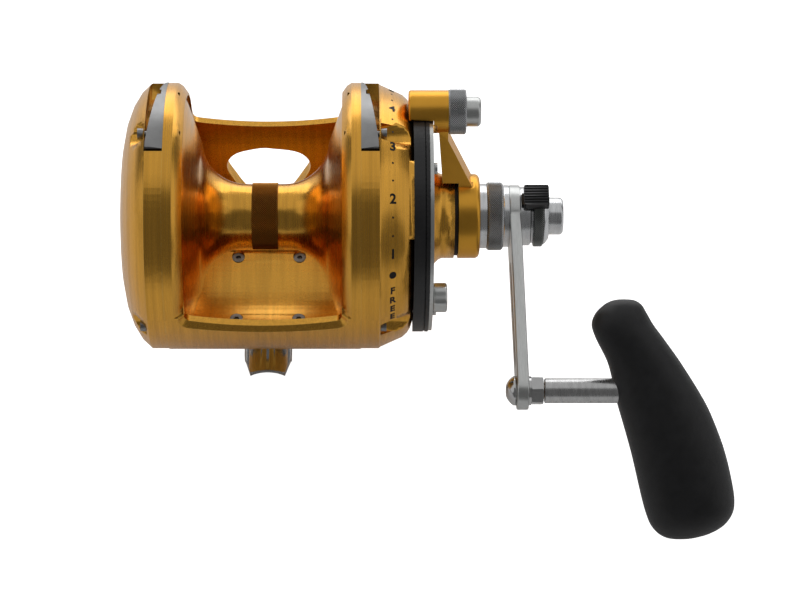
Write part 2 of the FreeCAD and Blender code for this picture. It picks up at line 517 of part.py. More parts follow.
# ---- spool, shaft and drag ----------------------------------------------------------------
def spool():
    """Arbor and flanges in one piece. Its sides curve up from the arbor into thin flanges."""
    fillet_end = (28.6, 33.0)
    middle = (22.6, 20.2)
    edges = []
    top = []
    for side in (1, -1):
        arc = Part.Arc(V(side * ARBOR_FLAT, ARBOR_R, 0), V(side * middle[0], middle[1], 0),
                       V(side * fillet_end[0], fillet_end[1], 0)).toShape()
        flange = Part.makeLine(V(side * fillet_end[0], fillet_end[1], 0), V(side * FLANGE_RIM, FLANGE_R - 0.9, 0))
        corner = Part.makeLine(V(side * FLANGE_RIM, FLANGE_R - 0.9, 0), V(side * (FLANGE_RIM + 0.9), FLANGE_R, 0))
        rim = Part.makeLine(V(side * (FLANGE_RIM + 0.9), FLANGE_R, 0), V(side * SPOOL_HALF, FLANGE_R, 0))
        face = Part.makeLine(V(side * SPOOL_HALF, FLANGE_R, 0), V(side * SPOOL_HALF, 0, 0))
        edges += [arc, flange, corner, rim, face]
        top.append(V(side * ARBOR_FLAT, ARBOR_R, 0))
    edges.append(Part.makeLine(top[0], top[1]))
    edges.append(Part.makeLine(V(SPOOL_HALF, 0, 0), V(-SPOOL_HALF, 0, 0)))
    outline = Part.Wire(Part.__sortEdges__(edges))
    body = Part.Face(outline).revolve(V(0, 0, 0), V(1, 0, 0), 360)
    body = body.cut(tube(-BAND_HALF, BAND_HALF, ARBOR_R + 3, ARBOR_R - 0.6))
    body = body.cut(tube(-40, 40, SHAFT_R + 1.5))
    bearing_r = 9.5
    bearings = []
    for side in (-1, 1):
        seat = sorted((side * 31.4, side * 40))
        body = body.cut(tube(seat[0], seat[1], bearing_r))
        x0, x1 = sorted((side * 31.5, side * 37.0))
        bearings += ball_bearing(x0, x1, bearing_r - 0.02, SHAFT_R + RUN)
    save("spool_bearings", *bearings)
    # The left face is hollowed, and the right face takes the drag washer.
    body = body.cut(turned([(-SPOOL_HALF - 1, 49.5), (-SPOOL_HALF + 1, 49.5), (-32.5, 43.0), (-30.6, 35.0),
                            (-26.5, 24.0), (-24.0, 21.0), (-24.0, 13.5), (-SPOOL_HALF - 1, 13.5)]))
    body = body.fuse(tube(-SPOOL_HALF, -34.5, 22.0, 13.0))
    body = body.cut(tube(WASHER_X[0], WASHER_X[1] + 1, PLATE_R + 0.2, 20.0))
    save("spool", body.removeSplitter())
    save("arbor_band", tube(-BAND_HALF, BAND_HALF, ARBOR_R + 0.6, ARBOR_R - 0.6))
    save("drag_washer", tube(WASHER_X[0], WASHER_X[1], PLATE_R, 20.2))


def drive_train():
    """Drag plate and double pinion on the spool axis, and the two main gears on the crank's."""
    sleeve = 6.0
    plate = turned([(PLATE_X[0], PLATE_R), (PLATE_X[1] - 0.8, PLATE_R), (PLATE_X[1], PLATE_R - 0.8),
                    (PLATE_X[1], 10.0), (45.4, 10.0), (45.4, sleeve), (PLATE_X[0], sleeve)])
    for index in range(8):
        place = at(0, 15.5, 45 * index)
        plate = plate.cut(tube(PLATE_X[0] - 1, PLATE_X[1] + 1, 2.6, 0, place.y, place.z))
    save("drag_plate", plate)
    bore = SHAFT_R + 0.3
    pinion = joined([tube(PLATE_X[0], 66.0, sleeve),
                     gear(HIGH_TEETH[1], HIGH_X[0], HIGH_X[1], bore, 0, 0, CRANK_TURN),
                     gear(LOW_TEETH[1], LOW_X[0], LOW_X[1], bore, 0, 0, CRANK_TURN)])
    save("double_pinion", pinion.cut(tube(PLATE_X[0] - 1, 68, bore)))
    back = CRANK_TURN + 180
    for name, teeth, span, fit in (("high_gear", HIGH_TEETH[0], HIGH_X, 0.01),
                                   ("low_gear", LOW_TEETH[0], LOW_X, RUN)):
        wheel = gear(teeth, span[0], span[1], CRANK_R + fit, CRANK_Y, CRANK_Z, back + 180 / teeth)
        for index in range(6):
            place = at(0, MODULE * teeth * 0.3, 60 * index, CRANK_Y, CRANK_Z)
            wheel = wheel.cut(tube(span[0] - 1, span[1] + 1, 2.4, 0, place.y, place.z))
        save(name, wheel)
    save("gear_spacer", tube(HIGH_X[1] + 0.1, LOW_X[0] - 0.1, 8.0, CRANK_R + 0.05, CRANK_Y, CRANK_Z))
    shaft = tube(-57, 105.4, SHAFT_R)
    flats = Part.makeBox(6, 20, 20, V(-57, -10, SHAFT_R - 0.8))
    save("spool_shaft", shaft.cut(flats))
    springs = []
    for index in range(4):
        x0 = 67.4 + 1.5 * index
        lean = 0.5 if index % 2 else -0.5
        springs.append(turned([(x0 + lean * 0.5 + 0.3, 4.35), (x0 + 1.0 + lean * 0.5 + 0.1, 4.35),
                               (x0 + 1.0 - lean * 0.5 + 0.1, 8.6), (x0 - lean * 0.5 + 0.3, 8.6)]))
    save("drag_springs", *springs)
    save("thrust_washer", tube(74.0, 75.8, 9.2, SHAFT_R + 0.25))


def preset_knob():
    """The knob on the threaded end of the shaft that sets the most drag the lever gives."""
    sleeve = turned([(KNOB_X[0], 14.6), (KNOB_X[1], 14.6), (KNOB_X[1], 12.0), (KNOB_X[2] - 0.6, 12.0),
                     (KNOB_X[2], 11.4), (KNOB_X[2], SHAFT_R + 0.02), (KNOB_X[0], SHAFT_R + 0.02)])
    save("preset_knob", sleeve)
    save("preset_knurl", turned([(KNOB_X[1], 15.5), (KNOB_X[2] - 1.4, 15.5), (KNOB_X[2], 13.6),
                                 (KNOB_X[2], 12.02), (KNOB_X[1], 12.02)]))


# ---- crank and grip -----------------------------------------------------------------------
def crank():
    """Crank shaft, arm and the two-speed shifter in the arm's hub."""
    y, z = CRANK_Y, CRANK_Z
    shaft = tube(BRIDGE_X[0] + 0.2, SHIFT_X[1], CRANK_R, 1.8, y, z)
    save("crank_shaft", shaft)
    flange = turned([(84.6, 8.3), (ARM_START - 3.2, 8.3), (ARM_START - 3.2, 13.2), (ARM_START - 2.2, 14.3),
                     (ARM_START, 14.3), (ARM_START, CRANK_R + 0.01), (84.6, CRANK_R + 0.01)], y, z)
    save("crank_collar", flange)
    hub_r, tip_r = 14.3, 8.4
    arm = joined([tube(ARM_START, ARM_END, hub_r, 0, y, z), tube(ARM_START, ARM_END, tip_r, 0, GRIP_Y, z)]
                 + [arm_web(hub_r - 2.4, tip_r)])
    edges = [e for e in arm.Edges if abs(e.BoundBox.XLength) < 0.01]
    arm = arm.makeFillet(0.7, edges)
    groove = Part.makeBox(1.3, CRANK_LENGTH - 42, 5.0, V(ARM_START - 0.1, GRIP_Y + 14, z - 2.5))
    groove = groove.makeFillet(2.45, [e for e in groove.Edges if abs(e.tangentAt(0).x) > 0.9])
    arm = arm.cut(groove).cut(tube(ARM_START - 1, ARM_END + 1, CRANK_R + 0.01, 0, y, z))
    arm = arm.cut(tube(ARM_START - 1, ARM_END + 1, GRIP_PIN_R + 0.01, 0, GRIP_Y, z))
    save("crank_arm", arm)
    x0, x1, x2, x3 = SHIFT_X
    nut = turned([(x0, 13.6), (x1 - 0.5, 13.6), (x1, 13.1), (x1, CRANK_R + 0.01), (x0, CRANK_R + 0.01)], y, z)
    cap = turned([(x1 + 0.05, 12.4), (x1 + 1.3, 12.4), (x1 + 1.3, 11.0), (x1 + 5.5, 11.0), (x1 + 5.5, 13.4),
                  (x2 - 1.4, 12.6), (x2, 10.6), (x2, 8.8), (x1 + 3.0, 8.8), (x1 + 3.0, 2.2),
                  (x1 + 0.05, 2.2)], y, z)
    latch_slot = latch_box(0.25)
    save("hub_nut", nut.cut(latch_slot))
    save("shift_housing", cap.cut(latch_slot))
    knurl = tube(x1 + 1.35, x1 + 5.45, 14.2, 11.02, y, z)
    save("shift_knurl", knurl.cut(latch_slot))
    button = turned([(x1 + 6.2, 8.6), (x3 - 1.2, 8.6), (x3, 7.6), (x3, 0), (50.0, 0), (50.0, 1.7),
                     (x1 + 6.2, 1.7)], y, z)
    save("shift_button", button)
    save("shift_spring", *wave_spring(x1 + 3.1, x1 + 6.1, 6.5, 1.6, 5, y, z))
    latch = latch_box(0)
    for index in range(7):
        rib = Part.makeBox(20, 0.8, 0.7, V(x0 + 1.2, y + LATCH_SIDE[0] + 0.95 + 1.45 * index, z + LATCH_TOP - 0.45))
        latch = latch.cut(turn_about_x(rib, LATCH_TURN, y, z).common(latch_cap()))
    save("shift_latch", latch.removeSplitter())


LATCH_TURN = 8.0        # the shift latch stands on the hub's upper rear, this far behind the top
LATCH_SIDE = (-5.4, 5.4)
LATCH_TOP = 18.4


def latch_cap(extra=0.0):
    x0 = SHIFT_X[0] + 1.2 - extra
    box = Part.makeBox(11.4 + 2 * extra, LATCH_SIDE[1] - LATCH_SIDE[0] + 2 * extra, 3.6 + 2 * extra,
                       V(x0, CRANK_Y + LATCH_SIDE[0] - extra, CRANK_Z + LATCH_TOP - 3.6 - extra))
    if not extra:
        box = box.makeFillet(0.9, [e for e in box.Edges if abs(e.BoundBox.ZLength) > 1])
    return turn_about_x(box, LATCH_TURN, CRANK_Y, CRANK_Z)


def latch_box(extra):
    """The latch's ribbed cap and the tongue that reaches into the hub, grown by extra."""
    x0 = SHIFT_X[0] + 0.4 - extra
    travel = 2.6 if extra else 0.0
    tongue = Part.makeBox(7.4 + 2 * extra + travel, 6.0 + 2 * extra, 5.4 + 2 * extra,
                          V(x0, CRANK_Y - 3.0 - extra, CRANK_Z + LATCH_TOP - 8.9 - extra))
    return latch_cap(extra).fuse(turn_about_x(tongue, LATCH_TURN, CRANK_Y, CRANK_Z)).removeSplitter()


def arm_web(hub_half, tip_half):
    """The tapered plate between the arm's hub and its tip."""
    z = CRANK_Z
    outline = [V(ARM_START, CRANK_Y, z - hub_half), V(ARM_START, CRANK_Y, z + hub_half),
               V(ARM_START, GRIP_Y, z + tip_half), V(ARM_START, GRIP_Y, z - tip_half)]
    return Part.Face(Part.makePolygon(outline + outline[:1])).extrude(V(ARM_THICK, 0, 0))


GRIP_LEAN = 130.0       # the grip hangs behind and below the crank: turned from straight up
GRIP_SECTIONS = (       # down the grip: distance, centre along X, half width, half depth
    (-40.2, 158.3, 3.1, 2.9), (-39.3, 158.1, 5.6, 5.0), (-37.6, 157.7, 8.3, 7.1),
    (-33.9, 157.0, 11.3, 9.4), (-29.1, 157.6, 13.5, 11.0), (-23.3, 160.6, 14.8, 12.0),
    (-11.9, 167.4, 16.1, 13.1), (4.8, 174.5, 19.3, 14.5), (15.9, 178.6, 20.2, 15.3),
    (27.3, 182.2, 20.6, 15.9), (40.0, 185.2, 20.6, 16.2), (48.0, 186.7, 20.2, 16.1),
    (53.7, 187.1, 19.0, 15.3), (58.9, 186.3, 16.1, 13.1), (62.5, 184.9, 11.7, 9.4),
    (64.5, 183.4, 6.8, 5.5), (65.2, 182.8, 3.3, 2.9))


def grip():
    """The T-bar grip, turning on a pin that is bolted through the tip of the arm."""
    y, z = GRIP_Y, CRANK_Z
    wires = []
    for down, centre, half_x, half_y in GRIP_SECTIONS:
        ellipse = Part.Ellipse(V(centre, 0, -down), half_x, half_y)
        wires.append(Part.Wire(ellipse.toShape()))
    body = Part.makeLoft(wires, True, False)
    body.rotate(V(0, 0, 0), V(1, 0, 0), -(180 - GRIP_LEAN))
    body.translate(V(0, y, z))
    spindle_end = 176.0
    body = body.cut(tube(100, spindle_end + 0.2, SPINDLE_R + 0.02, 0, y, z))
    save("grip", body)
    save("grip_spindle", tube(ARM_END + 7.0, spindle_end, SPINDLE_R, 4.4, y, z))
    pin_end = 170.0
    head_start = ARM_START - 4.6
    dome = Part.makeSphere(7.6, V(ARM_START + 2.6, y, z)).common(tube(head_start, ARM_START, 6.5, 0, y, z))
    pin = dome.fuse(tube(ARM_START - 0.1, pin_end, GRIP_PIN_R, 0, y, z)).removeSplitter()
    save("grip_pin", pin.cut(tube(head_start - 3, head_start + 1.2, 1.6, 0, y, z)))
    washer = tube(ARM_END, ARM_END + 1.1, 6.4, GRIP_PIN_R + 0.02, y, z)
    corners = [at(ARM_END + 1.2, 6.6, 60 * k, y, z) for k in range(7)]
    nut = Part.Face(Part.makePolygon(corners)).extrude(V(5.2, 0, 0))
    cone = turned([(ARM_END + 1.2, 0), (ARM_END + 1.2, 6.1), (ARM_END + 1.8, 6.7), (ARM_END + 5.8, 6.7),
                   (ARM_END + 6.4, 6.1), (ARM_END + 6.4, 0)], y, z)
    save("grip_nut", nut.common(cone).cut(tube(100, 140, GRIP_PIN_R + 0.02, 0, y, z)), washer)
    save("grip_bushes", tube(ARM_END + 7.2, ARM_END + 13, 4.38, GRIP_PIN_R + RUN, y, z),
         tube(159.0, 167.0, 4.38, GRIP_PIN_R + RUN, y, z))
    retainer = tube(pin_end, pin_end + 1.2, 4.2, 0, y, z).fuse(
        tube(pin_end + 1.2, pin_end + 2.6, 2.6, 0, y, z)).removeSplitter()
    save("grip_retainer", retainer)


os.makedirs("parts", exist_ok=True)
frame()
reel_foot()
left_cover()
clicker()
right_cover()
save("harness_lug_left", harness_lug(-1))
save("harness_lug_right", harness_lug(1))
quadrant()
drag_lever()
spool()
drive_train()
preset_knob()
crank()
grip()
print(len(os.listdir("parts")), "nodes")
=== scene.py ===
"""Looks for a two-speed lever-drag trolling reel, laid out as a Blender add-on and run as a script.

Lengths in the profiles below are millimetres and are turned into metres when a mesh is made.
X runs along the spool axis towards the crank, Y forward along the rod and Z up from the rod.
"""
import json
import math

import bmesh
import bpy
import numpy as np
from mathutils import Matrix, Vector


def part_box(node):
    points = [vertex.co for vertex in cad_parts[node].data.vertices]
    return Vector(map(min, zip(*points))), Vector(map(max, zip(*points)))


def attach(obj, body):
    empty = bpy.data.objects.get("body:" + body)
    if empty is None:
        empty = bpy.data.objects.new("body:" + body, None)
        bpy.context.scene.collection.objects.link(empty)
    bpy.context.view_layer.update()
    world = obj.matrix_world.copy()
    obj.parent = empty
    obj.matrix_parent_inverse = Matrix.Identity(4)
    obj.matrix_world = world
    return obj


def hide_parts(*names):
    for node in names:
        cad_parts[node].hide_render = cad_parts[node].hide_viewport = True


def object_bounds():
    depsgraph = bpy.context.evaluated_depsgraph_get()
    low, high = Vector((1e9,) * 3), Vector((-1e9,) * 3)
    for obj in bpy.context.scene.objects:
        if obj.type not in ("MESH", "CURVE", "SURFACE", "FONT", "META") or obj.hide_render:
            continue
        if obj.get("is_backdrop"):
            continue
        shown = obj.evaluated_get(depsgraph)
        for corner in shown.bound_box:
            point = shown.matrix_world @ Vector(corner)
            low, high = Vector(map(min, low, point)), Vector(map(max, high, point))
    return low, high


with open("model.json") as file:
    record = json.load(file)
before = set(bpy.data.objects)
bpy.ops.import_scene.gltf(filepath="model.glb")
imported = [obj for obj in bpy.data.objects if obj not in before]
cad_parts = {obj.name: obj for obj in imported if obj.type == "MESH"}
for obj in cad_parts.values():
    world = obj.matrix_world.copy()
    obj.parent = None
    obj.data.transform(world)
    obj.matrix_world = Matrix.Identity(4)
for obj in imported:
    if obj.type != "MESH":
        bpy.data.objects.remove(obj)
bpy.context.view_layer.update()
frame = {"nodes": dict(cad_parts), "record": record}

bl_info = {
    "name": "Trolling Reel",
    "version": (1, 0, 0),
    "blender": (4, 5, 0),
    "location": "View3D > Sidebar > Reel",
    "description": "Dresses the reel's frame with machined, anodised and moulded finishes",
    "category": "Add Mesh",
}


# ---- where the CAD puts things ------------------------------------------------------------
def middle(node):
    """The middle of a CAD node's box, in metres."""
    low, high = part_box(node)
    return (low + high) / 2


def span(node):
    """Where a CAD node starts and ends along X, in mm."""
    low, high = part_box(node)
    return low.x * 1000, high.x * 1000


def outer_radius(node):
    """The radius of a CAD node that is round about an axis along X, in mm."""
    low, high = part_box(node)
    return (high.y - low.y) * 500


SPOOL_AXIS = middle("spool_shaft")
CRANK_AXIS = middle("crank_collar")
GRIP_AXIS = middle("grip_spindle")
BARREL_AXIS = middle("lever_collar")
POST_AXIS = middle("free_stop")
BLASTED_R = 0.0568      # inside this radius from the spool's axis the frame is blasted, in metres


# ---- settings -----------------------------------------------------------------------------
class ReelFinishSettings(bpy.types.PropertyGroup):
    """Colours and grain of the finishes."""
    gold: bpy.props.FloatVectorProperty(
        name="Gold", description="Anodised colour of the frame and covers", subtype="COLOR",
        size=3, min=0, max=1, default=(0.80, 0.40, 0.05))
    silver: bpy.props.FloatVectorProperty(
        name="Silver", description="Colour of the clear anodised parts", subtype="COLOR",
        size=3, min=0, max=1, default=(0.72, 0.73, 0.74))
    steel: bpy.props.FloatVectorProperty(
        name="Steel", description="Colour of the stainless parts", subtype="COLOR",
        size=3, min=0, max=1, default=(0.56, 0.56, 0.56))
    grip: bpy.props.FloatVectorProperty(
        name="Grip", description="Colour of the moulded grip", subtype="COLOR",
        size=3, min=0, max=1, default=(0.012, 0.012, 0.013))
    turning: bpy.props.FloatProperty(
        name="Turning marks", description="Depth of the lathe's marks", min=0, max=2, default=1.0)
    # How far the outer edges are worn and painted paler as a highlight.
    wear_and_highlight: bpy.props.FloatProperty(
        name="Edge wear", description="How far the colour has rubbed off the edges",
        subtype="FACTOR", min=0, max=1, default=0.35)


class ReelKnurlSettings(bpy.types.PropertyGroup):
    """Pitch and depth of the diamond knurling."""
    pitch: bpy.props.FloatProperty(
        name="Pitch", description="Width of one diamond round the rim", subtype="DISTANCE",
        unit="LENGTH", min=0.0004, max=0.003, default=0.00098)
    depth: bpy.props.FloatProperty(
        name="Depth", description="Height of one diamond", subtype="DISTANCE",
        unit="LENGTH", min=0, max=0.001, default=0.00034)


class ReelStageSettings(bpy.types.PropertyGroup):
    """Camera and light."""
    elevation: bpy.props.FloatProperty(
        name="Elevation", description="How far above the horizon the camera stands",
        subtype="ANGLE", unit="ROTATION", default=math.radians(51.8))
    distance: bpy.props.FloatProperty(
        name="Distance", description="Camera to the middle of the view", subtype="DISTANCE",
        unit="LENGTH", default=1.2)
    lens: bpy.props.FloatProperty(name="Lens", description="Focal length in millimetres",
                                  min=20, max=300, default=119.6)
    light: bpy.props.FloatProperty(name="Light", description="Brightness of the softboxes",
                                   min=0, max=10, default=1.0)


# ---- mesh helpers -------------------------------------------------------------------------
def grid_faces(rows, columns, wrap_rows, wrap_columns):
    """Quads of a grid of points. A wrapped direction joins its last line to its first."""
    i = np.arange(rows if wrap_rows else rows - 1)
    j = np.arange(columns if wrap_columns else columns - 1)
    i, j = np.meshgrid(i, j, indexing="ij")
    i1, j1 = (i + 1) % rows, (j + 1) % columns
    corners = [i * columns + j, i1 * columns + j, i1 * columns + j1, i * columns + j1]
    return np.stack([c.ravel() for c in corners], axis=1)


def mesh_from(name, points, faces):
    """A mesh from an array of points in metres and an array of quads, poles and seams merged."""
    mesh = bpy.data.meshes.new(name)
    mesh.from_pydata(points.reshape(-1, 3).tolist(), [], faces.tolist())
    work = bmesh.new()
    work.from_mesh(mesh)
    bmesh.ops.remove_doubles(work, verts=work.verts, dist=1e-7)
    bmesh.ops.dissolve_degenerate(work, edges=work.edges, dist=1e-8)
    bmesh.ops.recalc_face_normals(work, faces=work.faces)
    work.to_mesh(mesh)
    work.free()
    return mesh


def smooth(mesh, angle=32):
    """Smooth shading, broken where two faces meet at more than this many degrees."""
    mesh.shade_smooth()
    mesh.set_sharp_from_angle(angle=math.radians(angle))


def piece(name, mesh, material, body, replaced=(), weighted=True):
    """Puts a finished mesh in the scene, riding on a body in place of some CAD nodes."""
    obj = bpy.data.objects.new(name, mesh)
    bpy.context.scene.collection.objects.link(obj)
    mesh.materials.clear()
    mesh.materials.append(material)
    if weighted:
        normals = obj.modifiers.new("even shading", "WEIGHTED_NORMAL")
        normals.keep_sharp = True
        normals.weight = 80
    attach(obj, body)
    if replaced:
        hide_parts(*replaced)
    return obj


def rounded(profile, radius, steps=4):
    """The outline with each corner swept by a quadratic curve.

    A corner P between neighbours A and B becomes (1-t)(1-t)A' + 2t(1-t)P + t t B', where A' and B'
    lie on the two sides, at the radius from P or at 45% of the side if that is less.
    """
    p = np.asarray(profile, float)
    before, after = np.roll(p, 1, 0), np.roll(p, -1, 0)

    def step_to(q):
        way = q - p
        length = np.linalg.norm(way, axis=1, keepdims=True)
        return p + way / np.maximum(length, 1e-9) * np.minimum(radius, 0.45 * length)

    a, b = step_to(before), step_to(after)
    t = np.linspace(0, 1, steps)[None, :, None]
    swept = (1 - t) ** 2 * a[:, None] + 2 * t * (1 - t) * p[:, None] + t ** 2 * b[:, None]
    return swept.reshape(-1, 2)


def turned(name, profile, axis, radius=0.25, around=192):
    """A closed outline of (x, r) turned about an axis along X.

    Each outline point goes to (x, y0 + r cos a, z0 + r sin a) for a from 0 to a full turn.
    """
    outline = rounded(profile, radius)
    outline[:, 1] = np.maximum(outline[:, 1], 0)
    a = np.linspace(0, 2 * np.pi, around, endpoint=False)
    x, r = outline[:, 0, None] / 1000, outline[:, 1, None] / 1000
    points = np.stack([x + 0 * a, axis.y + r * np.cos(a), axis.z + r * np.sin(a)], axis=-1)
    mesh = mesh_from(name, points, grid_faces(len(outline), around, True, True))
    smooth(mesh)
    return mesh


def knurled(name, x0, x1, outer, inner, axis, bevel=0.5, recess=0.0):
    """A ring whose rim carries raised diamonds.

    The rim's radius at angle a and distance s along X is outer minus the depth times
    max(tri(u), tri(v)), with u, v = n a / 2 pi plus and minus s / pitch, where tri is the
    distance from the nearest whole number, doubled. It fades to plain bevels at both ends.
    """
    depth = bpy.context.scene.reel_knurl.depth * 1000
    count, pitch = knurl_size(outer)
    around = count * 4
    a = np.arange(around) * 2 * np.pi / around
    s = np.append(np.arange(0, x1 - x0 - pitch / 16, pitch / 4), x1 - x0)
    u = count * a[None] / (2 * np.pi) + s[:, None] / pitch
    v = count * a[None] / (2 * np.pi) - s[:, None] / pitch
    tri = lambda w: np.abs(2 * (w - np.floor(w)) - 1)
    relief = depth * np.maximum(tri(u), tri(v))
    edge = np.minimum(s, x1 - x0 - s)[:, None]
    shoulder = bevel - np.minimum(edge, bevel)
    rim = outer - np.maximum(relief * (edge > 0.15), shoulder)
    rows = [(x0 + si, ri) for si, ri in zip(s, rim)]
    flat = np.ones(around)
    rows += [(x1 - recess, flat * (outer - bevel * 1.6)), (x1 - recess, flat * inner),
             (x0, flat * inner)]
    points = np.stack([np.stack([np.full(around, x), axis.y * 1000 + r * np.cos(a),
                                 axis.z * 1000 + r * np.sin(a)], axis=-1) for x, r in rows])
    return mesh_from(name, points / 1000, grid_faces(len(rows), around, True, True))


def cleaned_copy(node, angle=26):
    """A CAD node's mesh with its loose triangles joined and its curved faces shaded smooth."""
    mesh = frame["nodes"][node].data.copy()
    mesh.name = node + "_finished"
    work = bmesh.new()
    work.from_mesh(mesh)
    bmesh.ops.remove_doubles(work, verts=work.verts, dist=2e-6)
    work.to_mesh(mesh)
    work.free()
    smooth(mesh, angle)
    return mesh


# ---- shader groups ------------------------------------------------------------------------
def shader_group(name, inputs, outputs):
    """An empty node group with these named sockets, and its input and output nodes."""
    tree = bpy.data.node_groups.new(name, "ShaderNodeTree")
    for title, kind, value in inputs:
        socket = tree.interface.new_socket(title, in_out="INPUT", socket_type=kind)
        if value is not None:
            socket.default_value = value
    for title, kind in outputs:
        tree.interface.new_socket(title, in_out="OUTPUT", socket_type=kind)
    return tree, tree.nodes.new("NodeGroupInput"), tree.nodes.new("NodeGroupOutput")


def math_node(tree, operation, a, b=None, c=None):
    """A Math node. Each value is a number or another node's output."""
    node = tree.nodes.new("ShaderNodeMath")
    node.operation = operation
    for index, value in enumerate((a, b, c)):
        if isinstance(value, (int, float)):
            node.inputs[index].default_value = value
        elif value is not None:
            tree.links.new(value, node.inputs[index])
    return node.outputs[0]


def vector_node(tree, operation, a, b=None):
    """A Vector Math node. Each vector is a tuple or another node's output."""
    node = tree.nodes.new("ShaderNodeVectorMath")
    node.operation = operation
    for index, value in enumerate((a, b)):
        if isinstance(value, (tuple, list)):
            node.inputs[index].default_value = value
        elif value is not None:
            tree.links.new(value, node.inputs[index])
    return node.outputs["Value" if operation in ("LENGTH", "DOT_PRODUCT") else "Vector"]


def noise(tree, vector, scale, detail=3.0, roughness=0.55):
    """Cloudy noise read at a vector."""
    node = tree.nodes.new("ShaderNodeTexNoise")
    tree.links.new(vector, node.inputs["Vector"])
    node.inputs["Scale"].default_value = scale
    node.inputs["Detail"].default_value = detail
    node.inputs["Roughness"].default_value = roughness
    return node.outputs["Fac"]


def combine(tree, x, y, z):
    """A vector from three numbers or outputs."""
    node = tree.nodes.new("ShaderNodeCombineXYZ")
    for index, value in enumerate((x, y, z)):
        if isinstance(value, (int, float)):
            node.inputs[index].default_value = value
        else:
            tree.links.new(value, node.inputs[index])
    return node.outputs[0]


def blend_colour(tree, factor, a, b):
    """Goes from colour a to colour b as the factor goes from zero to one."""
    node = tree.nodes.new("ShaderNodeMix")
    node.data_type = "RGBA"
    for socket, value in ((node.inputs[0], factor), (node.inputs[6], a), (node.inputs[7], b)):
        if isinstance(value, (int, float, tuple)):
            socket.default_value = value
        else:
            tree.links.new(value, socket)
    return node.outputs[2]


def blend_value(tree, factor, a, b):
    """Goes from output a to output b as the factor goes from zero to one."""
    node = tree.nodes.new("ShaderNodeMix")
    for socket, value in zip(node.inputs[:1] + node.inputs[2:4], (factor, a, b)):
        tree.links.new(value, socket)
    return node.outputs[0]


def ramp(tree, value, low, high, to_low=0.0, to_high=1.0):
    """Stretches the range from low to high onto the range from to_low to to_high, and clamps it."""
    node = tree.nodes.new("ShaderNodeMapRange")
    tree.links.new(value, node.inputs["Value"])
    for title, number in (("From Min", low), ("From Max", high), ("To Min", to_low),
                          ("To Max", to_high)):
        node.inputs[title].default_value = number
    return node.outputs["Result"]


STREAKS = 9000.0        # lathe streaks in a metre, at a fineness of one


def turning_group():
    """Marks that a lathe leaves: fine streaks round an axis along X.

    Two noises are read at (x, r) about the axis, stretched so that they hardly change round it.
    """
    tree, come, go = shader_group("turning marks", [
        ("Axis", "NodeSocketVector", (0.0, 0.0, 0.0)), ("Fineness", "NodeSocketFloat", 1.0)],
        [("Marks", "NodeSocketFloat"), ("Bands", "NodeSocketFloat"), ("Radius", "NodeSocketFloat")])
    place = tree.nodes.new("ShaderNodeTexCoord").outputs["Object"]
    off = vector_node(tree, "SUBTRACT", place, come.outputs["Axis"])
    split = tree.nodes.new("ShaderNodeSeparateXYZ")
    tree.links.new(off, split.inputs[0])
    radius = vector_node(tree, "LENGTH", combine(tree, 0.0, split.outputs[1], split.outputs[2]))
    tree.links.new(radius, go.inputs["Radius"])
    turn = math_node(tree, "ARCTAN2", split.outputs[2], split.outputs[1])
    per_metre = math_node(tree, "MULTIPLY", come.outputs["Fineness"], STREAKS)
    x = math_node(tree, "MULTIPLY", split.outputs[0], per_metre)
    r = math_node(tree, "MULTIPLY", radius, per_metre)
    around = math_node(tree, "MULTIPLY", turn, 0.8)
    tree.links.new(noise(tree, combine(tree, x, r, around), 1.0, 2.0, 0.6), go.inputs["Marks"])
    wide_x = math_node(tree, "MULTIPLY", x, 0.06)
    wide_r = math_node(tree, "MULTIPLY", r, 0.06)
    tree.links.new(noise(tree, combine(tree, wide_x, wide_r, turn), 1.0, 3.0, 0.5), go.inputs["Bands"])
    return tree


def edge_group():
    """Rubbed edges with a painted highlight: one on an outer edge, patchy, and zero past the given width
    from it.
    """
    tree, come, go = shader_group("edge rub", [("Width", "NodeSocketFloat", 0.0006)],
                                  [("Edge", "NodeSocketFloat")])
    bevel = tree.nodes.new("ShaderNodeBevel")
    bevel.samples = 4
    tree.links.new(come.outputs["Width"], bevel.inputs["Radius"])
    face = tree.nodes.new("ShaderNodeNewGeometry").outputs["Normal"]
    bent = math_node(tree, "SUBTRACT", 1.0, vector_node(tree, "DOT_PRODUCT", bevel.outputs[0], face))
    place = tree.nodes.new("ShaderNodeTexCoord").outputs["Object"]
    patchy = ramp(tree, noise(tree, place, 900.0, 4.0), 0.3, 0.7)
    mask = math_node(tree, "MULTIPLY", ramp(tree, bent, 0.02, 0.22), patchy)
    tree.links.new(mask, go.inputs["Edge"])
    return tree


def grain_group():
    """A blasted metal or moulded skin: fine grain, softer mottling and a few specks of dust."""
    tree, come, go = shader_group("skin grain", [("Size", "NodeSocketFloat", 1.0)], [
        ("Grain", "NodeSocketFloat"), ("Mottle", "NodeSocketFloat"), ("Specks", "NodeSocketFloat")])
    place = tree.nodes.new("ShaderNodeTexCoord").outputs["Object"]
    node = tree.nodes.new("ShaderNodeVectorMath")
    node.operation = "SCALE"
    tree.links.new(place, node.inputs[0])
    tree.links.new(math_node(tree, "DIVIDE", 1.0, come.outputs["Size"]), node.inputs["Scale"])
    at = node.outputs[0]
    tree.links.new(noise(tree, at, 4200.0, 2.0, 0.7), go.inputs["Grain"])
    tree.links.new(noise(tree, at, 95.0, 4.0, 0.6), go.inputs["Mottle"])
    cells = tree.nodes.new("ShaderNodeTexVoronoi")
    cells.inputs["Scale"].default_value = 420.0
    tree.links.new(at, cells.inputs["Vector"])
    near = ramp(tree, cells.outputs["Distance"], 0.05, 0.09, 1.0, 0.0)
    few = math_node(tree, "GREATER_THAN", noise(tree, at, 160.0, 1.0), 0.62)
    tree.links.new(math_node(tree, "MULTIPLY", near, few), go.inputs["Specks"])
    return tree


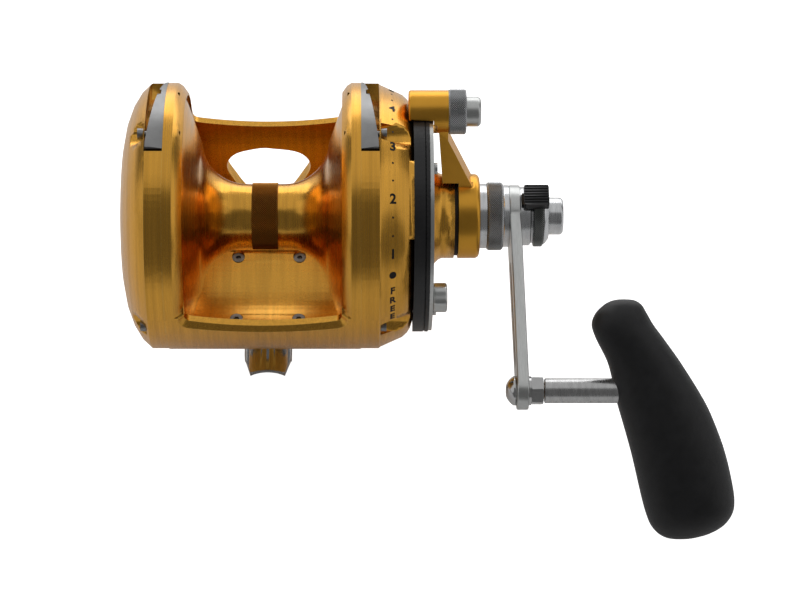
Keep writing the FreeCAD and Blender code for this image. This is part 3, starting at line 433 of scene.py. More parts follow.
def knurl_group():
    """The valleys between a knurl's diamonds, from the same formula as its mesh.

    With u, v = count a / 2 pi plus and minus (x - start) / pitch, the output is max(tri(u), tri(v)),
    where tri is the doubled distance from the nearest whole number, subtracted from one.
    """
    tree, come, go = shader_group("knurl valleys", [
        ("Axis", "NodeSocketVector", (0.0, 0.0, 0.0)), ("Start", "NodeSocketFloat", 0.0),
        ("Pitch", "NodeSocketFloat", 0.001), ("Count", "NodeSocketFloat", 60.0)],
        [("Valley", "NodeSocketFloat")])
    place = tree.nodes.new("ShaderNodeTexCoord").outputs["Object"]
    split = tree.nodes.new("ShaderNodeSeparateXYZ")
    tree.links.new(vector_node(tree, "SUBTRACT", place, come.outputs["Axis"]), split.inputs[0])
    turn = math_node(tree, "ARCTAN2", split.outputs[2], split.outputs[1])
    round_rim = math_node(tree, "MULTIPLY", turn, come.outputs["Count"])
    round_rim = math_node(tree, "DIVIDE", round_rim, 2 * math.pi)
    along = math_node(tree, "SUBTRACT", split.outputs[0], come.outputs["Start"])
    along = math_node(tree, "DIVIDE", along, come.outputs["Pitch"])
    waves = []
    for operation in ("ADD", "SUBTRACT"):
        whole = math_node(tree, "PINGPONG", math_node(tree, operation, round_rim, along), 0.5)
        waves.append(math_node(tree, "MULTIPLY_ADD", whole, -2.0, 1.0))
    tree.links.new(math_node(tree, "MAXIMUM", waves[0], waves[1]), go.inputs["Valley"])
    return tree


GROUPS = {}


def use(tree, group, **values):
    """Adds a shared group to a material's tree, with these socket values."""
    if group not in GROUPS:
        GROUPS[group] = {"turning": turning_group, "edge": edge_group, "grain": grain_group,
                         "knurl": knurl_group}[group]()
    node = tree.nodes.new("ShaderNodeGroup")
    node.node_tree = GROUPS[group]
    for title, value in values.items():
        node.inputs[title].default_value = value
    return node


def bump(tree, height, strength, distance, normal=None):
    """A bump of this strength, its distance in metres, laid over another normal if one is given."""
    node = tree.nodes.new("ShaderNodeBump")
    node.inputs["Strength"].default_value = strength
    node.inputs["Distance"].default_value = distance
    tree.links.new(height, node.inputs["Height"])
    if normal is not None:
        tree.links.new(normal, node.inputs["Normal"])
    return node.outputs[0]


def shaded(value, scale):
    """A linear colour, lightened or darkened, as four numbers."""
    return tuple(min(1.0, c * scale) for c in value) + (1.0,)


def new_material(name, metallic, roughness, colour):
    """A material with its node tree and its surface shader, set to these plain values."""
    material = bpy.data.materials.new(name)
    material.use_nodes = True
    surface = material.node_tree.nodes["Principled BSDF"]
    surface.inputs["Metallic"].default_value = metallic
    surface.inputs["Roughness"].default_value = roughness
    surface.inputs["Base Color"].default_value = shaded(colour, 1.0)
    return material, material.node_tree, surface


def turned_metal(name, colour, roughness, axis, marks=0.10, fineness=1.0, spread=0.10, worn_edge_and_highlight_colour=None,
                 tint=0.10, grain=0.0, coat=0.0, blasted_inside=0.0):
    """Metal finished on a lathe: streaks in tint, gloss and height round the axis, and rubbed edges painted
    paler as a highlight.
    """
    finish = bpy.context.scene.reel_finish
    material, tree, surface = new_material(name, 1.0, roughness, colour)
    turning = use(tree, "turning", Axis=(0.0, axis.y, axis.z), Fineness=fineness)
    skin = use(tree, "grain", Size=1.0)
    shade = ramp(tree, turning.outputs["Bands"], 0.35, 0.65)
    tone = blend_colour(tree, shade, shaded(colour, 1.0 - tint), shaded(colour, 1.0 + tint))
    fine = ramp(tree, turning.outputs["Marks"], 0.25, 0.75)
    if blasted_inside:
        inside = ramp(tree, turning.outputs["Radius"], blasted_inside, blasted_inside + 0.0005, 1.0, 0.0)
        fine = blend_value(tree, inside, fine, skin.outputs["Grain"])
    tone = blend_colour(tree, fine, tone, blend_colour(tree, 0.12, tone, shaded(colour, 1.25)))
    tone = blend_colour(tree, math_node(tree, "MULTIPLY", skin.outputs["Specks"], 0.35), tone,
                        shaded(colour, 0.35))
    # Worn edges with a painted highlight: the outer edges are painted paler, towards the edge colour.
    edge = use(tree, "edge")
    rubbed = math_node(tree, "MULTIPLY", edge.outputs["Edge"], finish.wear_and_highlight)
    tone = blend_colour(tree, rubbed, tone, shaded(worn_edge_and_highlight_colour or colour, 1.3))
    tree.links.new(tone, surface.inputs["Base Color"])
    gloss = math_node(tree, "MULTIPLY_ADD", fine, spread, roughness - spread / 2)
    gloss = math_node(tree, "MULTIPLY_ADD", skin.outputs["Mottle"], 0.08, gloss)
    tree.links.new(math_node(tree, "SUBTRACT", gloss, 0.04), surface.inputs["Roughness"])
    normal = bump(tree, fine, marks * finish.turning, 0.00004)
    if grain:
        normal = bump(tree, skin.outputs["Grain"], grain, 0.00005, normal)
    tree.links.new(normal, surface.inputs["Normal"])
    surface.inputs["Coat Weight"].default_value = coat
    surface.inputs["Coat Roughness"].default_value = 0.22
    return material


def satin_metal(name, colour, roughness, grain=0.25, size=1.0, worn_edge_and_highlight_colour=None, mottle=0.12):
    """Blasted or ground metal with an even grain, and rubbed edges painted paler as a highlight."""
    finish = bpy.context.scene.reel_finish
    material, tree, surface = new_material(name, 1.0, roughness, colour)
    skin = use(tree, "grain", Size=size)
    tone = blend_colour(tree, ramp(tree, skin.outputs["Mottle"], 0.3, 0.7),
                        shaded(colour, 1.0 - mottle), shaded(colour, 1.0 + mottle))
    tone = blend_colour(tree, math_node(tree, "MULTIPLY", skin.outputs["Specks"], 0.5), tone,
                        shaded(colour, 0.3))
    # Worn edges with a painted highlight: the outer edges are painted paler.
    edge = use(tree, "edge")
    tone = blend_colour(tree, math_node(tree, "MULTIPLY", edge.outputs["Edge"], finish.wear_and_highlight), tone,
                        shaded(worn_edge_and_highlight_colour or colour, 1.4))
    tree.links.new(tone, surface.inputs["Base Color"])
    tree.links.new(math_node(tree, "MULTIPLY_ADD", skin.outputs["Grain"], 0.2, roughness - 0.1),
                   surface.inputs["Roughness"])
    tree.links.new(bump(tree, skin.outputs["Grain"], grain, 0.00006), surface.inputs["Normal"])
    return material


def knurl_size(outer):
    """How many diamonds go round a rim of this radius in mm, and the width of one."""
    pitch = bpy.context.scene.reel_knurl.pitch * 1000
    count = max(12, round(2 * math.pi * outer / pitch))
    return count, 2 * math.pi * outer / count


def knurled_metal(name, node, axis, colour, roughness, valley_shade, tips):
    """Knurled metal: painted shade that darkens the diamonds' valleys, and paler diamond tips."""
    material, tree, surface = new_material(name, 1.0, roughness, colour)
    count, pitch = knurl_size(outer_radius(node))
    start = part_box(node)[0].x
    valley = use(tree, "knurl", Axis=(0.0, axis.y, axis.z), Start=start, Pitch=pitch / 1000,
                 Count=float(count)).outputs["Valley"]
    skin = use(tree, "grain", Size=1.0)
    # Painted shade: the colour darkens towards the bottom of each valley between the diamonds.
    tone = blend_colour(tree, ramp(tree, valley, 0.45, 1.0), shaded(colour, 1.0), shaded(colour, valley_shade))
    # The diamonds' tips are painted paler.
    tone = blend_colour(tree, ramp(tree, valley, 0.55, 0.25), tone, shaded(colour, tips))
    tone = blend_colour(tree, math_node(tree, "MULTIPLY", skin.outputs["Mottle"], 0.25), tone,
                        shaded(colour, 0.8))
    tree.links.new(tone, surface.inputs["Base Color"])
    tree.links.new(math_node(tree, "MULTIPLY_ADD", valley, 0.25, roughness - 0.12),
                   surface.inputs["Roughness"])
    tree.links.new(bump(tree, skin.outputs["Grain"], 0.1, 0.00003), surface.inputs["Normal"])
    return material


def brushed_metal(name, colour, roughness, along, lines=0.12):
    """Metal brushed in straight lines: noise squeezed across the brushing direction."""
    material, tree, surface = new_material(name, 1.0, roughness, colour)
    place = tree.nodes.new("ShaderNodeTexCoord").outputs["Object"]
    lengthways, crossways = 60.0, 6000.0        # noise cells in a metre
    squeeze = tuple(lengthways if axis == along else crossways for axis in "XYZ")
    streak = noise(tree, vector_node(tree, "MULTIPLY", place, squeeze), 1.0, 3.0, 0.6)
    tone = blend_colour(tree, ramp(tree, streak, 0.3, 0.7), shaded(colour, 0.88), shaded(colour, 1.12))
    # Worn edges with a painted highlight: the outer edges are painted paler.
    edge = use(tree, "edge")
    finish = bpy.context.scene.reel_finish
    tone = blend_colour(tree, math_node(tree, "MULTIPLY", edge.outputs["Edge"], finish.wear_and_highlight), tone,
                        shaded(colour, 1.4))
    tree.links.new(tone, surface.inputs["Base Color"])
    tree.links.new(math_node(tree, "MULTIPLY_ADD", streak, 0.2, roughness - 0.1),
                   surface.inputs["Roughness"])
    tree.links.new(bump(tree, streak, lines, 0.00003), surface.inputs["Normal"])
    return material


def moulded(name, colour, roughness, grain, size, specular=0.4, mottle=0.35, rub_and_highlight=0.3):
    """Moulded rubber or plastic: pebbled skin, cloudy gloss, and rubbed edges painted paler as a highlight.
    """
    material, tree, surface = new_material(name, 0.0, roughness, colour)
    skin = use(tree, "grain", Size=size)
    tone = blend_colour(tree, ramp(tree, skin.outputs["Mottle"], 0.3, 0.7),
                        shaded(colour, 1.0 - mottle), shaded(colour, 1.0 + mottle))
    tone = blend_colour(tree, math_node(tree, "MULTIPLY", skin.outputs["Specks"], 0.12), tone,
                        (0.3, 0.29, 0.27, 1.0))
    # Worn edges with a painted highlight: the outer edges are painted paler.
    edge = use(tree, "edge", Width=0.0004)
    tone = blend_colour(tree, math_node(tree, "MULTIPLY", edge.outputs["Edge"], rub_and_highlight), tone,
                        shaded(colour, 3.0))
    tree.links.new(tone, surface.inputs["Base Color"])
    tree.links.new(math_node(tree, "MULTIPLY_ADD", skin.outputs["Mottle"], 0.16, roughness - 0.08),
                   surface.inputs["Roughness"])
    tree.links.new(bump(tree, skin.outputs["Grain"], grain, 0.00012), surface.inputs["Normal"])
    surface.inputs["Specular IOR Level"].default_value = specular
    return material


def woven_carbon(name):
    """Drag washer face: small checks of two dark greys, the paler ones raised."""
    material, tree, surface = new_material(name, 0.0, 0.4, (0.03, 0.03, 0.032))
    place = tree.nodes.new("ShaderNodeTexCoord").outputs["Object"]
    checks = tree.nodes.new("ShaderNodeTexChecker")
    tree.links.new(place, checks.inputs["Vector"])
    checks.inputs["Scale"].default_value = 600.0
    checks.inputs["Color1"].default_value = (0.02, 0.02, 0.022, 1)
    checks.inputs["Color2"].default_value = (0.055, 0.055, 0.06, 1)
    tree.links.new(checks.outputs["Color"], surface.inputs["Base Color"])
    tree.links.new(bump(tree, checks.outputs["Fac"], 0.3, 0.00008), surface.inputs["Normal"])
    return material


MATERIALS = {}


def finishes():
    """Every finish, made once, by the record's slot names and a few names of this file's own."""
    if MATERIALS:
        return MATERIALS
    settings = bpy.context.scene.reel_finish
    gold, silver, steel = tuple(settings.gold), tuple(settings.silver), tuple(settings.steel)
    pale_gold = (0.95, 0.66, 0.24)
    spool, crank = SPOOL_AXIS, CRANK_AXIS
    MATERIALS.update({
        "gold_satin": turned_metal("gold satin", gold, 0.27, spool, 0.10, 1.0, 0.10, pale_gold,
                                   grain=0.05, coat=0.35),
        "gold_frame": turned_metal("gold frame", gold, 0.27, spool, 0.10, 1.0, 0.10, pale_gold,
                                   grain=0.05, coat=0.35, blasted_inside=BLASTED_R),
        "gold_lever": satin_metal("gold lever", gold, 0.33, 0.16, 1.2, pale_gold, mottle=0.05),
        "gold_spool": turned_metal("gold spool", gold, 0.24, spool, 0.16, 0.8, 0.12,
                                   pale_gold, tint=0.12, coat=0.35),
        "gold_knurl": knurled_metal("gold knurl", "arbor_band", spool, (0.44, 0.23, 0.06), 0.4, 0.35,
                                    1.5),
        "silver_satin": turned_metal("silver satin", silver, 0.24, crank, 0.10, 1.0, 0.10),
        "silver_knob": turned_metal("silver knob", silver, 0.22, spool, 0.10, 1.0, 0.10),
        "silver_arm": brushed_metal("silver arm", (0.60, 0.61, 0.60), 0.33, "Y", 0.14),
        "silver_knurl": knurled_metal("silver knurl", "lever_collar", BARREL_AXIS, (0.55, 0.56, 0.57),
                                      0.34, 0.22, 1.5),
        "silver_knob_knurl": knurled_metal("silver knob knurl", "preset_knurl", spool,
                                           (0.55, 0.56, 0.57), 0.34, 0.22, 1.5),
        "steel_polished": satin_metal("polished steel", steel, 0.16, 0.05, 1.0),
        "steel_brushed": turned_metal("brushed steel", steel, 0.26, GRIP_AXIS, 0.12, 0.9, 0.12),
        "lug_steel": satin_metal("lug steel", (0.30, 0.30, 0.30), 0.34, 0.12, 0.8),
        "dark_knurl": knurled_metal("dark knurl", "shift_knurl", crank, (0.27, 0.28, 0.27), 0.36, 0.25,
                                    1.5),
        "gear_steel": turned_metal("gear steel", (0.42, 0.42, 0.43), 0.3, crank, 0.14),
        "bronze": satin_metal("bronze", (0.50, 0.30, 0.12), 0.34, 0.15, 1.0),
        "black_plastic": moulded("black plastic", (0.014, 0.014, 0.015), 0.38, 0.14, 0.9, 0.5),
        "drag_fibre": woven_carbon("drag fibre"),
        "seal_rubber": moulded("seal rubber", (0.02, 0.018, 0.016), 0.6, 0.2, 0.7, 0.3),
        "grip_rubber": moulded("grip rubber", tuple(settings.grip), 0.46, 0.42, 0.55, 0.42, 0.3, 0.1),
        "scale_ink": moulded("scale ink", (0.012, 0.010, 0.008), 0.5, 0.1, 0.8, 0.3),
    })
    return MATERIALS


# ---- operators, one for each piece or group of like pieces ---------------------------------
class REEL_OT_hidden_works(bpy.types.Operator):
    """Gives every CAD node its slot's finish, which the pieces inside the covers keep"""
    bl_idname = "reel.hidden_works"
    bl_label = "Inner works"

    def execute(self, context):
        slots = {entry["node"]: entry["material_slot"] for entry in frame["record"]["subparts"]}
        for node, obj in frame["nodes"].items():
            obj.data.materials.clear()
            obj.data.materials.append(finishes()[slots[node]])
        return {"FINISHED"}


class REEL_OT_machined_bodies(bpy.types.Operator):
    """Frame, covers, lever, foot and the other machined pieces, with their curves shaded true"""
    bl_idname = "reel.machined_bodies"
    bl_label = "Machined bodies"

    def execute(self, context):
        table = (
            ("frame", "gold_frame", "reel_body", "gold_satin", 24),
            ("left_cover", "gold_satin", "reel_body", "gold_satin", 24),
            ("right_cover", "gold_satin", "reel_body", "gold_satin", 24),
            ("drag_lever", "gold_lever", "lever", "gold_satin", 24),
            ("reel_foot", "steel_polished", "reel_body", "steel_polished", 30),
            ("harness_lug_left", "lug_steel", "reel_body", "steel_polished", 30),
            ("harness_lug_right", "lug_steel", "reel_body", "steel_polished", 30),
            ("drag_quadrant", "black_plastic", "reel_body", "black_plastic", 30),
            ("quadrant_plate", "silver_arm", "reel_body", "silver_satin", 30),
            ("crank_arm", "silver_arm", "crank", "silver_satin", 30),
            ("hub_nut", "silver_satin", "crank", "silver_satin", 30),
            ("shift_housing", "silver_satin", "crank", "silver_satin", 30),
            ("grip_nut", "steel_polished", "crank", "steel_polished", 30),
            ("grip_pin", "steel_polished", "crank", "steel_polished", 30),
            ("shift_latch", "black_plastic", "latch", "black_plastic", 30),
            ("click_button", "black_plastic", "click", "black_plastic", 30),
            ("left_cover_screws", "lug_steel", "reel_body", "steel_brushed", 30),
            ("right_cover_screws", "lug_steel", "reel_body", "steel_brushed", 30),
            ("foot_screws", "lug_steel", "reel_body", "steel_brushed", 30),
            ("quadrant_screws", "steel_polished", "reel_body", "steel_brushed", 30),
        )
        for node, finish, body, slot, angle in table:
            piece(node + "_piece", cleaned_copy(node, angle), finishes()[finish], body, [node])
        return {"FINISHED"}


class REEL_OT_spool(bpy.types.Operator):
    """The turned spool and its knurled arbor band"""
    bl_idname = "reel.spool"
    bl_label = "Spool"

    def execute(self, context):
        mesh = cleaned_copy("spool", 22)
        piece("spool_piece", mesh, finishes()["gold_spool"], "spool", ["spool"])
        low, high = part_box("arbor_band")
        outer, wall = (high.z - low.z) * 500, 1.2
        band = knurled("arbor_band_piece", *span("arbor_band"), outer, outer - wall, SPOOL_AXIS, 0.2)
        piece("arbor_band_piece", band, finishes()["gold_knurl"], "spool", ["arbor_band"],
              weighted=False)
        return {"FINISHED"}


class REEL_OT_knurled_rims(bpy.types.Operator):
    """The knurled collar on the lever, the preset knob's rim and the shift ring"""
    bl_idname = "reel.knurled_rims"
    bl_label = "Knurled rims"

    def execute(self, context):
        for node, axis, inner, finish, body, slot, bevel in (
                ("lever_collar", BARREL_AXIS, 6.8, "silver_knurl", "lever", "silver_knurl", 0.7),
                ("preset_knurl", SPOOL_AXIS, 12.03, "silver_knob_knurl", "preset", "silver_knurl", 0.9),
                ("shift_knurl", CRANK_AXIS, 11.02, "dark_knurl", "crank", "steel_brushed", 0.4)):
            mesh = knurled(node + "_piece", *span(node), outer_radius(node), inner, axis, bevel)
            piece(node + "_piece", mesh, finishes()[finish], body, [node], weighted=False)
        return {"FINISHED"}


class REEL_OT_turned_fittings(bpy.types.Operator):
    """Buttons, knob, collar, stop post and spindle, turned with softened edges"""
    bl_idname = "reel.turned_fittings"
    bl_label = "Turned fittings"

    def execute(self, context):
        x0, x1 = span("preset_knob")
        rim = span("preset_knurl")[0]
        knob = [(x0, 4.05), (x0, 14.6), (rim - 0.05, 14.6), (rim - 0.05, 12.0), (x1 - 0.6, 12.0),
                (x1, 11.4), (x1, 9.4), (x1 - 0.9, 8.9), (x1 - 0.9, 4.05)]
        piece("preset_knob_piece", turned("preset_knob_piece", knob, SPOOL_AXIS), finishes()["silver_knob"],
              "preset", ["preset_knob"])
        x0, x1 = span("crank_collar")
        collar = [(x0, 5.05), (x0, 8.3), (x1 - 3.2, 8.3), (x1 - 3.2, 13.3), (x1 - 2.3, 14.3), (x1, 14.3),
                  (x1, 5.05)]
        piece("crank_collar_piece", turned("crank_collar_piece", collar, CRANK_AXIS),
              finishes()["silver_satin"], "crank", ["crank_collar"])
        x0, x1 = span("lever_button")
        head = x1 - 8.5
        button = [(x0, 0), (x0, 4.98), (head, 4.98), (head, 6.6), (x1 - 1.2, 6.6), (x1, 5.5), (x1, 4.0),
                  (x1, 0)]
        piece("lever_button_piece", turned("lever_button_piece", button, BARREL_AXIS, 0.5),
              finishes()["silver_arm"], "lever_plunger", ["lever_button"])
        x0, x1 = span("shift_button")
        face = x1 - 8.9
        button = [(x0, 0), (x0, 1.7), (face, 1.7), (face, 8.6), (x1 - 1.0, 8.6), (x1, 7.6), (x1, 5.6),
                  (x1 - 0.35, 5.2), (x1 - 0.35, 0)]
        piece("shift_button_piece", turned("shift_button_piece", button, CRANK_AXIS, 0.3),
              finishes()["silver_satin"], "shifter", ["shift_button"])
        x0, x1 = span("grip_spindle")
        tube = [(x0, 4.42), (x0, 5.2), (x0 + 0.3, 5.5), (x1, 5.5), (x1, 4.42)]
        piece("grip_spindle_piece", turned("grip_spindle_piece", tube, GRIP_AXIS),
              finishes()["steel_brushed"], "handle", ["grip_spindle"])
        piece("stop_post_piece", stop_post(), finishes()["silver_arm"], "reel_body",
              ["free_stop"])
        return {"FINISHED"}


def stop_post():
    """The free stop: a round button with shallow finger lobes on its rim.

    The radius is R - 0.25 (1 + cos 6a) between the foot and the crown, and the crown's edge is a
    quarter circle.
    """
    x1 = span("free_stop")[1]
    radius = outer_radius("free_stop")
    lobe_depth, lobe_count = 0.25, 6
    outline = rounded([(x1 - 9.8, 0), (x1 - 9.8, 2.45), (x1 - 6.2, 2.45), (x1 - 6.2, radius), (x1, radius),
                       (x1, 0)], 1.2, 7)
    around = 144
    a = np.linspace(0, 2 * np.pi, around, endpoint=False)
    lobes = lobe_depth * (1 + np.cos(lobe_count * a))[None] * (outline[:, 1, None] > radius - 1.0)
    r = np.maximum(outline[:, 1, None] - lobes, 0) / 1000
    x = outline[:, 0, None] / 1000 + 0 * a
    points = np.stack([x, POST_AXIS.y + r * np.cos(a), POST_AXIS.z + r * np.sin(a)], axis=-1)
    mesh = mesh_from("stop_post_piece", points, grid_faces(len(outline), around, True, True))
    smooth(mesh, 34)
    return mesh


# Down the grip from its pin, in mm: distance, centre along X, half width, half depth.
GRIP_SECTIONS = np.array([
    (-40.2, 158.3, 0.0, 0.0), (-40.0, 158.3, 3.3, 3.1), (-39.3, 158.1, 5.8, 5.1),
    (-37.6, 157.7, 8.4, 7.1), (-33.9, 157.0, 11.3, 9.4), (-29.1, 157.6, 13.5, 11.0),
    (-23.3, 160.6, 14.8, 12.0), (-11.9, 167.4, 16.1, 13.1), (4.8, 174.5, 19.3, 14.5),
    (15.9, 178.6, 20.2, 15.3), (27.3, 182.2, 20.6, 15.9), (40.0, 185.2, 20.6, 16.2),
    (48.0, 186.7, 20.2, 16.1), (53.7, 187.1, 19.0, 15.3), (58.9, 186.3, 16.1, 13.1),
    (62.5, 184.9, 11.7, 9.4), (64.5, 183.4, 6.8, 5.5), (65.1, 182.8, 3.3, 2.9), (65.2, 182.8, 0.0, 0.0)])
GRIP_HANG = math.radians(50)        # how far the grip is turned back about its pin from hanging down


def grip_surface():
    """The moulded grip: a superellipse carried down a curved spine.

    Section sizes are read off the table by a cubic through its rows. Round each section a point is
    (w |cos a|^p sign, d |sin a|^p sign) with p = 0.92, and a shallow thumb hollow, a Gaussian in
    both directions, is pressed into the outer side near the neck.
    """
    rows = GRIP_SECTIONS
    chord = np.concatenate([[0], np.cumsum(np.hypot(np.diff(rows[:, 0]), np.diff(rows[:, 2])))])
    t = np.linspace(0, chord[-1], 150)
    slope = np.gradient(rows, chord, axis=0)
    slope[1:-1] = (rows[2:] - rows[:-2]) / (chord[2:] - chord[:-2])[:, None]
    k = np.clip(np.searchsorted(chord, t) - 1, 0, len(chord) - 2)
    h = (chord[k + 1] - chord[k])[:, None]
    s = (t[:, None] - chord[k][:, None]) / h
    along = ((2 * s ** 3 - 3 * s ** 2 + 1) * rows[k] + (s ** 3 - 2 * s ** 2 + s) * h * slope[k]
             + (3 * s ** 2 - 2 * s ** 3) * rows[k + 1] + (s ** 3 - s ** 2) * h * slope[k + 1])
    a = np.linspace(0, 2 * np.pi, 128, endpoint=False)
    across = np.sign(np.cos(a)) * np.abs(np.cos(a)) ** 0.92
    deep = np.sign(np.sin(a)) * np.abs(np.sin(a)) ** 0.92
    down, centre = along[:, 0, None], along[:, 1, None]
    wide, depth = np.maximum(along[:, 2, None], 0), np.maximum(along[:, 3, None], 0)
    hollow = 0.9 * np.exp(-((down + 19) / 11) ** 2) * np.exp(-((a[None] - 0.25) / 0.7) ** 2)
    x = centre + (wide - hollow) * across
    y = (depth - hollow * 0.3) * deep + 0 * down
    z = -down + 0 * a
    turned_y = y * math.cos(GRIP_HANG) + z * math.sin(GRIP_HANG)
    turned_z = z * math.cos(GRIP_HANG) - y * math.sin(GRIP_HANG)
    points = np.stack([x, GRIP_AXIS.y * 1000 + turned_y, GRIP_AXIS.z * 1000 + turned_z], axis=-1)
    mesh = mesh_from("grip_piece", points / 1000, grid_faces(len(t), len(a), False, True))
    smooth(mesh, 60)
    return mesh


class REEL_OT_grip(bpy.types.Operator):
    """The black moulded T-bar grip"""
    bl_idname = "reel.grip"
    bl_label = "Grip"

    def execute(self, context):
        piece("grip_piece", grip_surface(), finishes()["grip_rubber"], "handle",
              ["grip"], weighted=False)
        return {"FINISHED"}


SCALE_FOOT = (51.8, 59.0)       # (x, r) where the right cover's scale cone starts, in mm
SCALE_TOP = (61.6, 54.6)        # and where it ends
# Angles round the spool's axis, in degrees up from forwards.
FIGURES = (("1", 147.0), ("2", 122.7), ("3", 98.2), ("4", 74.0), ("5", 50.0))
STRIKE_DOT = 157.4
FIRST_LETTER, LETTER_STEP = 165.0, 5.25


def printed(name, text, size, angle, along=0.5, bold=0.0):
    """A figure laid on the scale cone, read with the crank to the right.

    A flat point (u, v) goes to x = x0 + u cos b, r = r0 - u sin b and angle = a0 - v / r, where b
    is the cone's slope. Each figure is a thin solid 0.05 mm thick.
    """
    curve = bpy.data.curves.new(name, "FONT")
    curve.body = text
    curve.size = size / 1000
    curve.align_x, curve.align_y = "CENTER", "CENTER"
    curve.extrude = 0.000025
    curve.offset = bold / 1000
    curve.resolution_u = 6
    holder = bpy.data.objects.new(name, curve)
    bpy.context.scene.collection.objects.link(holder)
    bpy.context.view_layer.update()
    mesh = bpy.data.meshes.new_from_object(holder.evaluated_get(bpy.context.evaluated_depsgraph_get()))
    bpy.data.objects.remove(holder)
    flat = np.zeros(len(mesh.vertices) * 3)
    mesh.vertices.foreach_get("co", flat)
    u, v, w = flat.reshape(-1, 3).T * 1000
    run, fall = SCALE_TOP[0] - SCALE_FOOT[0], SCALE_FOOT[1] - SCALE_TOP[1]
    slope = math.atan2(fall, run)
    u = u + along * math.hypot(run, fall)
    lift = w + 0.03
    x = SCALE_FOOT[0] + u * math.cos(slope) + lift * math.sin(slope)
    r = SCALE_FOOT[1] - u * math.sin(slope) + lift * math.cos(slope)
    turn = math.radians(angle) - v / (SCALE_FOOT[1] - 2)
    y = SPOOL_AXIS.y * 1000 + r * np.cos(turn)
    z = SPOOL_AXIS.z * 1000 + r * np.sin(turn)
    points = np.stack([x, y, z], axis=1)
    mesh.vertices.foreach_set("co", (points / 1000).ravel())
    mesh.update()
    return mesh


class REEL_OT_drag_scale(bpy.types.Operator):
    """The printed drag scale: figures, dots and the word that marks the free position"""
    bl_idname = "reel.drag_scale"
    bl_label = "Drag scale"

    def execute(self, context):
        marks = [("figure_" + text, text, 6.0, angle, 0.2) for text, angle in FIGURES]
        for index in range(len(FIGURES) - 1):
            start, end = FIGURES[index][1], FIGURES[index + 1][1]
            for part in (1, 2):
                angle = start + (end - start) * part / 3
                marks.append((f"dot_{index}_{part}", "•", 3.6, angle, 0.02))
        marks.append(("dot_strike", "•", 13.5, STRIKE_DOT, 0.0))
        for index, letter in enumerate("FREE"):
            angle = FIRST_LETTER + LETTER_STEP * index
            marks.append((f"letter_{index}", letter, 4.7, angle, 0.17))
        for name, text, size, angle, bold in marks:
            mesh = printed("scale_" + name, text, size, angle, 0.5, bold)
            piece("scale_" + name, mesh, finishes()["scale_ink"], "reel_body",
                  weighted=False)
        return {"FINISHED"}


def softbox(name, place, target, size, power):
    """A rectangular area lamp of this size in metres and power in watts, aimed at the target."""
    lamp = bpy.data.lights.new(name, "AREA")
    lamp.shape = "RECTANGLE"
    lamp.size, lamp.size_y = size
    lamp.energy = power * bpy.context.scene.reel_stage.light
    obj = bpy.data.objects.new(name, lamp)
    obj.location = place
    obj.rotation_mode = "QUATERNION"
    obj.rotation_quaternion = (Vector(target) - Vector(place)).to_track_quat("-Z", "Y")
    bpy.context.scene.collection.objects.link(obj)


# Each softbox: name, place, size in metres and power in watts. All aim at LIT_POINT.
SOFTBOXES = (
    ("top_box", (0.05, 0.45, 1.25), (2.4, 2.0), 6.3),
    ("back_box", (0.05, 1.35, 0.5), (2.8, 0.95), 13.5),
    ("left_box", (-1.2, -0.1, 0.7), (1.0, 1.3), 1.9),
    ("right_box", (1.3, -0.1, 0.7), (1.0, 1.3), 1.9),
)
LIT_POINT = (0.04, -0.02, 0.08)
ROOM_LIGHT = 0.13           # strength of the white world
FLOOR_GLOW = 0.05           # how much the floor lights the reel, where the camera sees it as one
AIM_ACROSS, AIM_DOWN = 0.0385, 0.0379       # the camera's aim from the spool's axis, in metres
VIEW_SHIFT = 0.0615         # how far the lens is shifted across, as a share of the frame's width


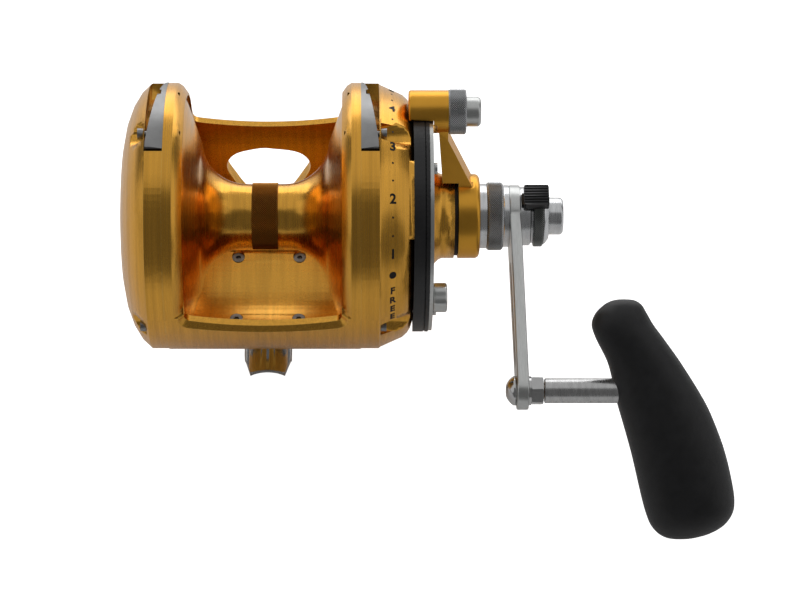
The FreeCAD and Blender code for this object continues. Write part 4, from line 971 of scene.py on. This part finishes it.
class REEL_OT_stage(bpy.types.Operator):
    """Plain pale floor, soft studio light and the camera"""
    bl_idname = "reel.stage"
    bl_label = "Stage"

    def execute(self, context):
        scene, settings = context.scene, context.scene.reel_stage
        low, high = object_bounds()
        floor_z = low.z - 0.0005
        mesh = bpy.data.meshes.new("floor")
        size = 6.0
        mesh.from_pydata([(-size, -size, floor_z), (size, -size, floor_z), (size, size, floor_z),
                          (-size, size, floor_z)], [], [(0, 1, 2, 3)])
        floor = bpy.data.objects.new("floor", mesh)
        scene.collection.objects.link(floor)
        material, tree, surface = new_material("pale floor", 0.0, 0.85, (0.93, 0.93, 0.93))
        surface.inputs["Emission Color"].default_value = (1, 1, 1, 1)
        seen = tree.nodes.new("ShaderNodeLightPath").outputs["Is Camera Ray"]
        tree.links.new(math_node(tree, "MULTIPLY_ADD", seen, 1.0 - FLOOR_GLOW, FLOOR_GLOW),
                       surface.inputs["Emission Strength"])
        surface.inputs["Specular IOR Level"].default_value = 0.1
        mesh.materials.append(material)
        floor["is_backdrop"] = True
        world = bpy.data.worlds.new("studio")
        world.use_nodes = True
        background = world.node_tree.nodes["Background"]
        background.inputs["Color"].default_value = (1, 1, 1, 1)
        background.inputs["Strength"].default_value = ROOM_LIGHT
        scene.world = world
        for name, place, box_size, power in SOFTBOXES:
            softbox(name, place, LIT_POINT, box_size, power)
        camera = bpy.data.objects.new("camera", bpy.data.cameras.new("camera"))
        scene.collection.objects.link(camera)
        up = settings.elevation
        back = Vector((0, -math.cos(up), math.sin(up)))
        image_up = Vector((0, math.sin(up), math.cos(up)))
        aim = Vector((AIM_ACROSS, SPOOL_AXIS.y, SPOOL_AXIS.z)) - image_up * AIM_DOWN
        camera.location = aim + back * settings.distance
        camera.rotation_mode = "QUATERNION"
        camera.rotation_quaternion = (-back).to_track_quat("-Z", "Y")
        camera.data.shift_x = VIEW_SHIFT
        camera.data.sensor_width = 36
        camera.data.lens = settings.lens
        camera.data.clip_start, camera.data.clip_end = 0.01, 50
        scene.camera = camera
        scene.view_settings.view_transform = "Standard"
        scene.view_settings.look = "None"
        return {"FINISHED"}


class REEL_PT_panel(bpy.types.Panel):
    """Buttons for each group of pieces, and their settings"""
    bl_label = "Trolling Reel"
    bl_idname = "REEL_PT_panel"
    bl_space_type = "VIEW_3D"
    bl_region_type = "UI"
    bl_category = "Reel"

    def draw(self, context):
        for name in ("reel_finish", "reel_knurl", "reel_stage"):
            settings = getattr(context.scene, name)
            for title in settings.__annotations__:
                self.layout.prop(settings, title)
        for operator in OPERATORS:
            self.layout.operator(operator.bl_idname)


OPERATORS = (REEL_OT_hidden_works, REEL_OT_machined_bodies, REEL_OT_spool, REEL_OT_knurled_rims,
             REEL_OT_turned_fittings, REEL_OT_grip, REEL_OT_drag_scale, REEL_OT_stage)
SETTINGS = (("reel_finish", ReelFinishSettings), ("reel_knurl", ReelKnurlSettings),
            ("reel_stage", ReelStageSettings))


def register():
    for name, group in SETTINGS:
        bpy.utils.register_class(group)
        setattr(bpy.types.Scene, name, bpy.props.PointerProperty(type=group))
    for cls in OPERATORS + (REEL_PT_panel,):
        bpy.utils.register_class(cls)


def unregister():
    for cls in reversed(OPERATORS + (REEL_PT_panel,)):
        bpy.utils.unregister_class(cls)
    for name, group in reversed(SETTINGS):
        delattr(bpy.types.Scene, name)
        bpy.utils.unregister_class(group)


def main():
    """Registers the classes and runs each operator."""
    register()
    for operator in OPERATORS:
        group, name = operator.bl_idname.split(".")
        if "FINISHED" not in getattr(getattr(bpy.ops, group), name)():
            raise RuntimeError(operator.bl_idname + " didn't finish")


if __name__ == "__main__":
    main()
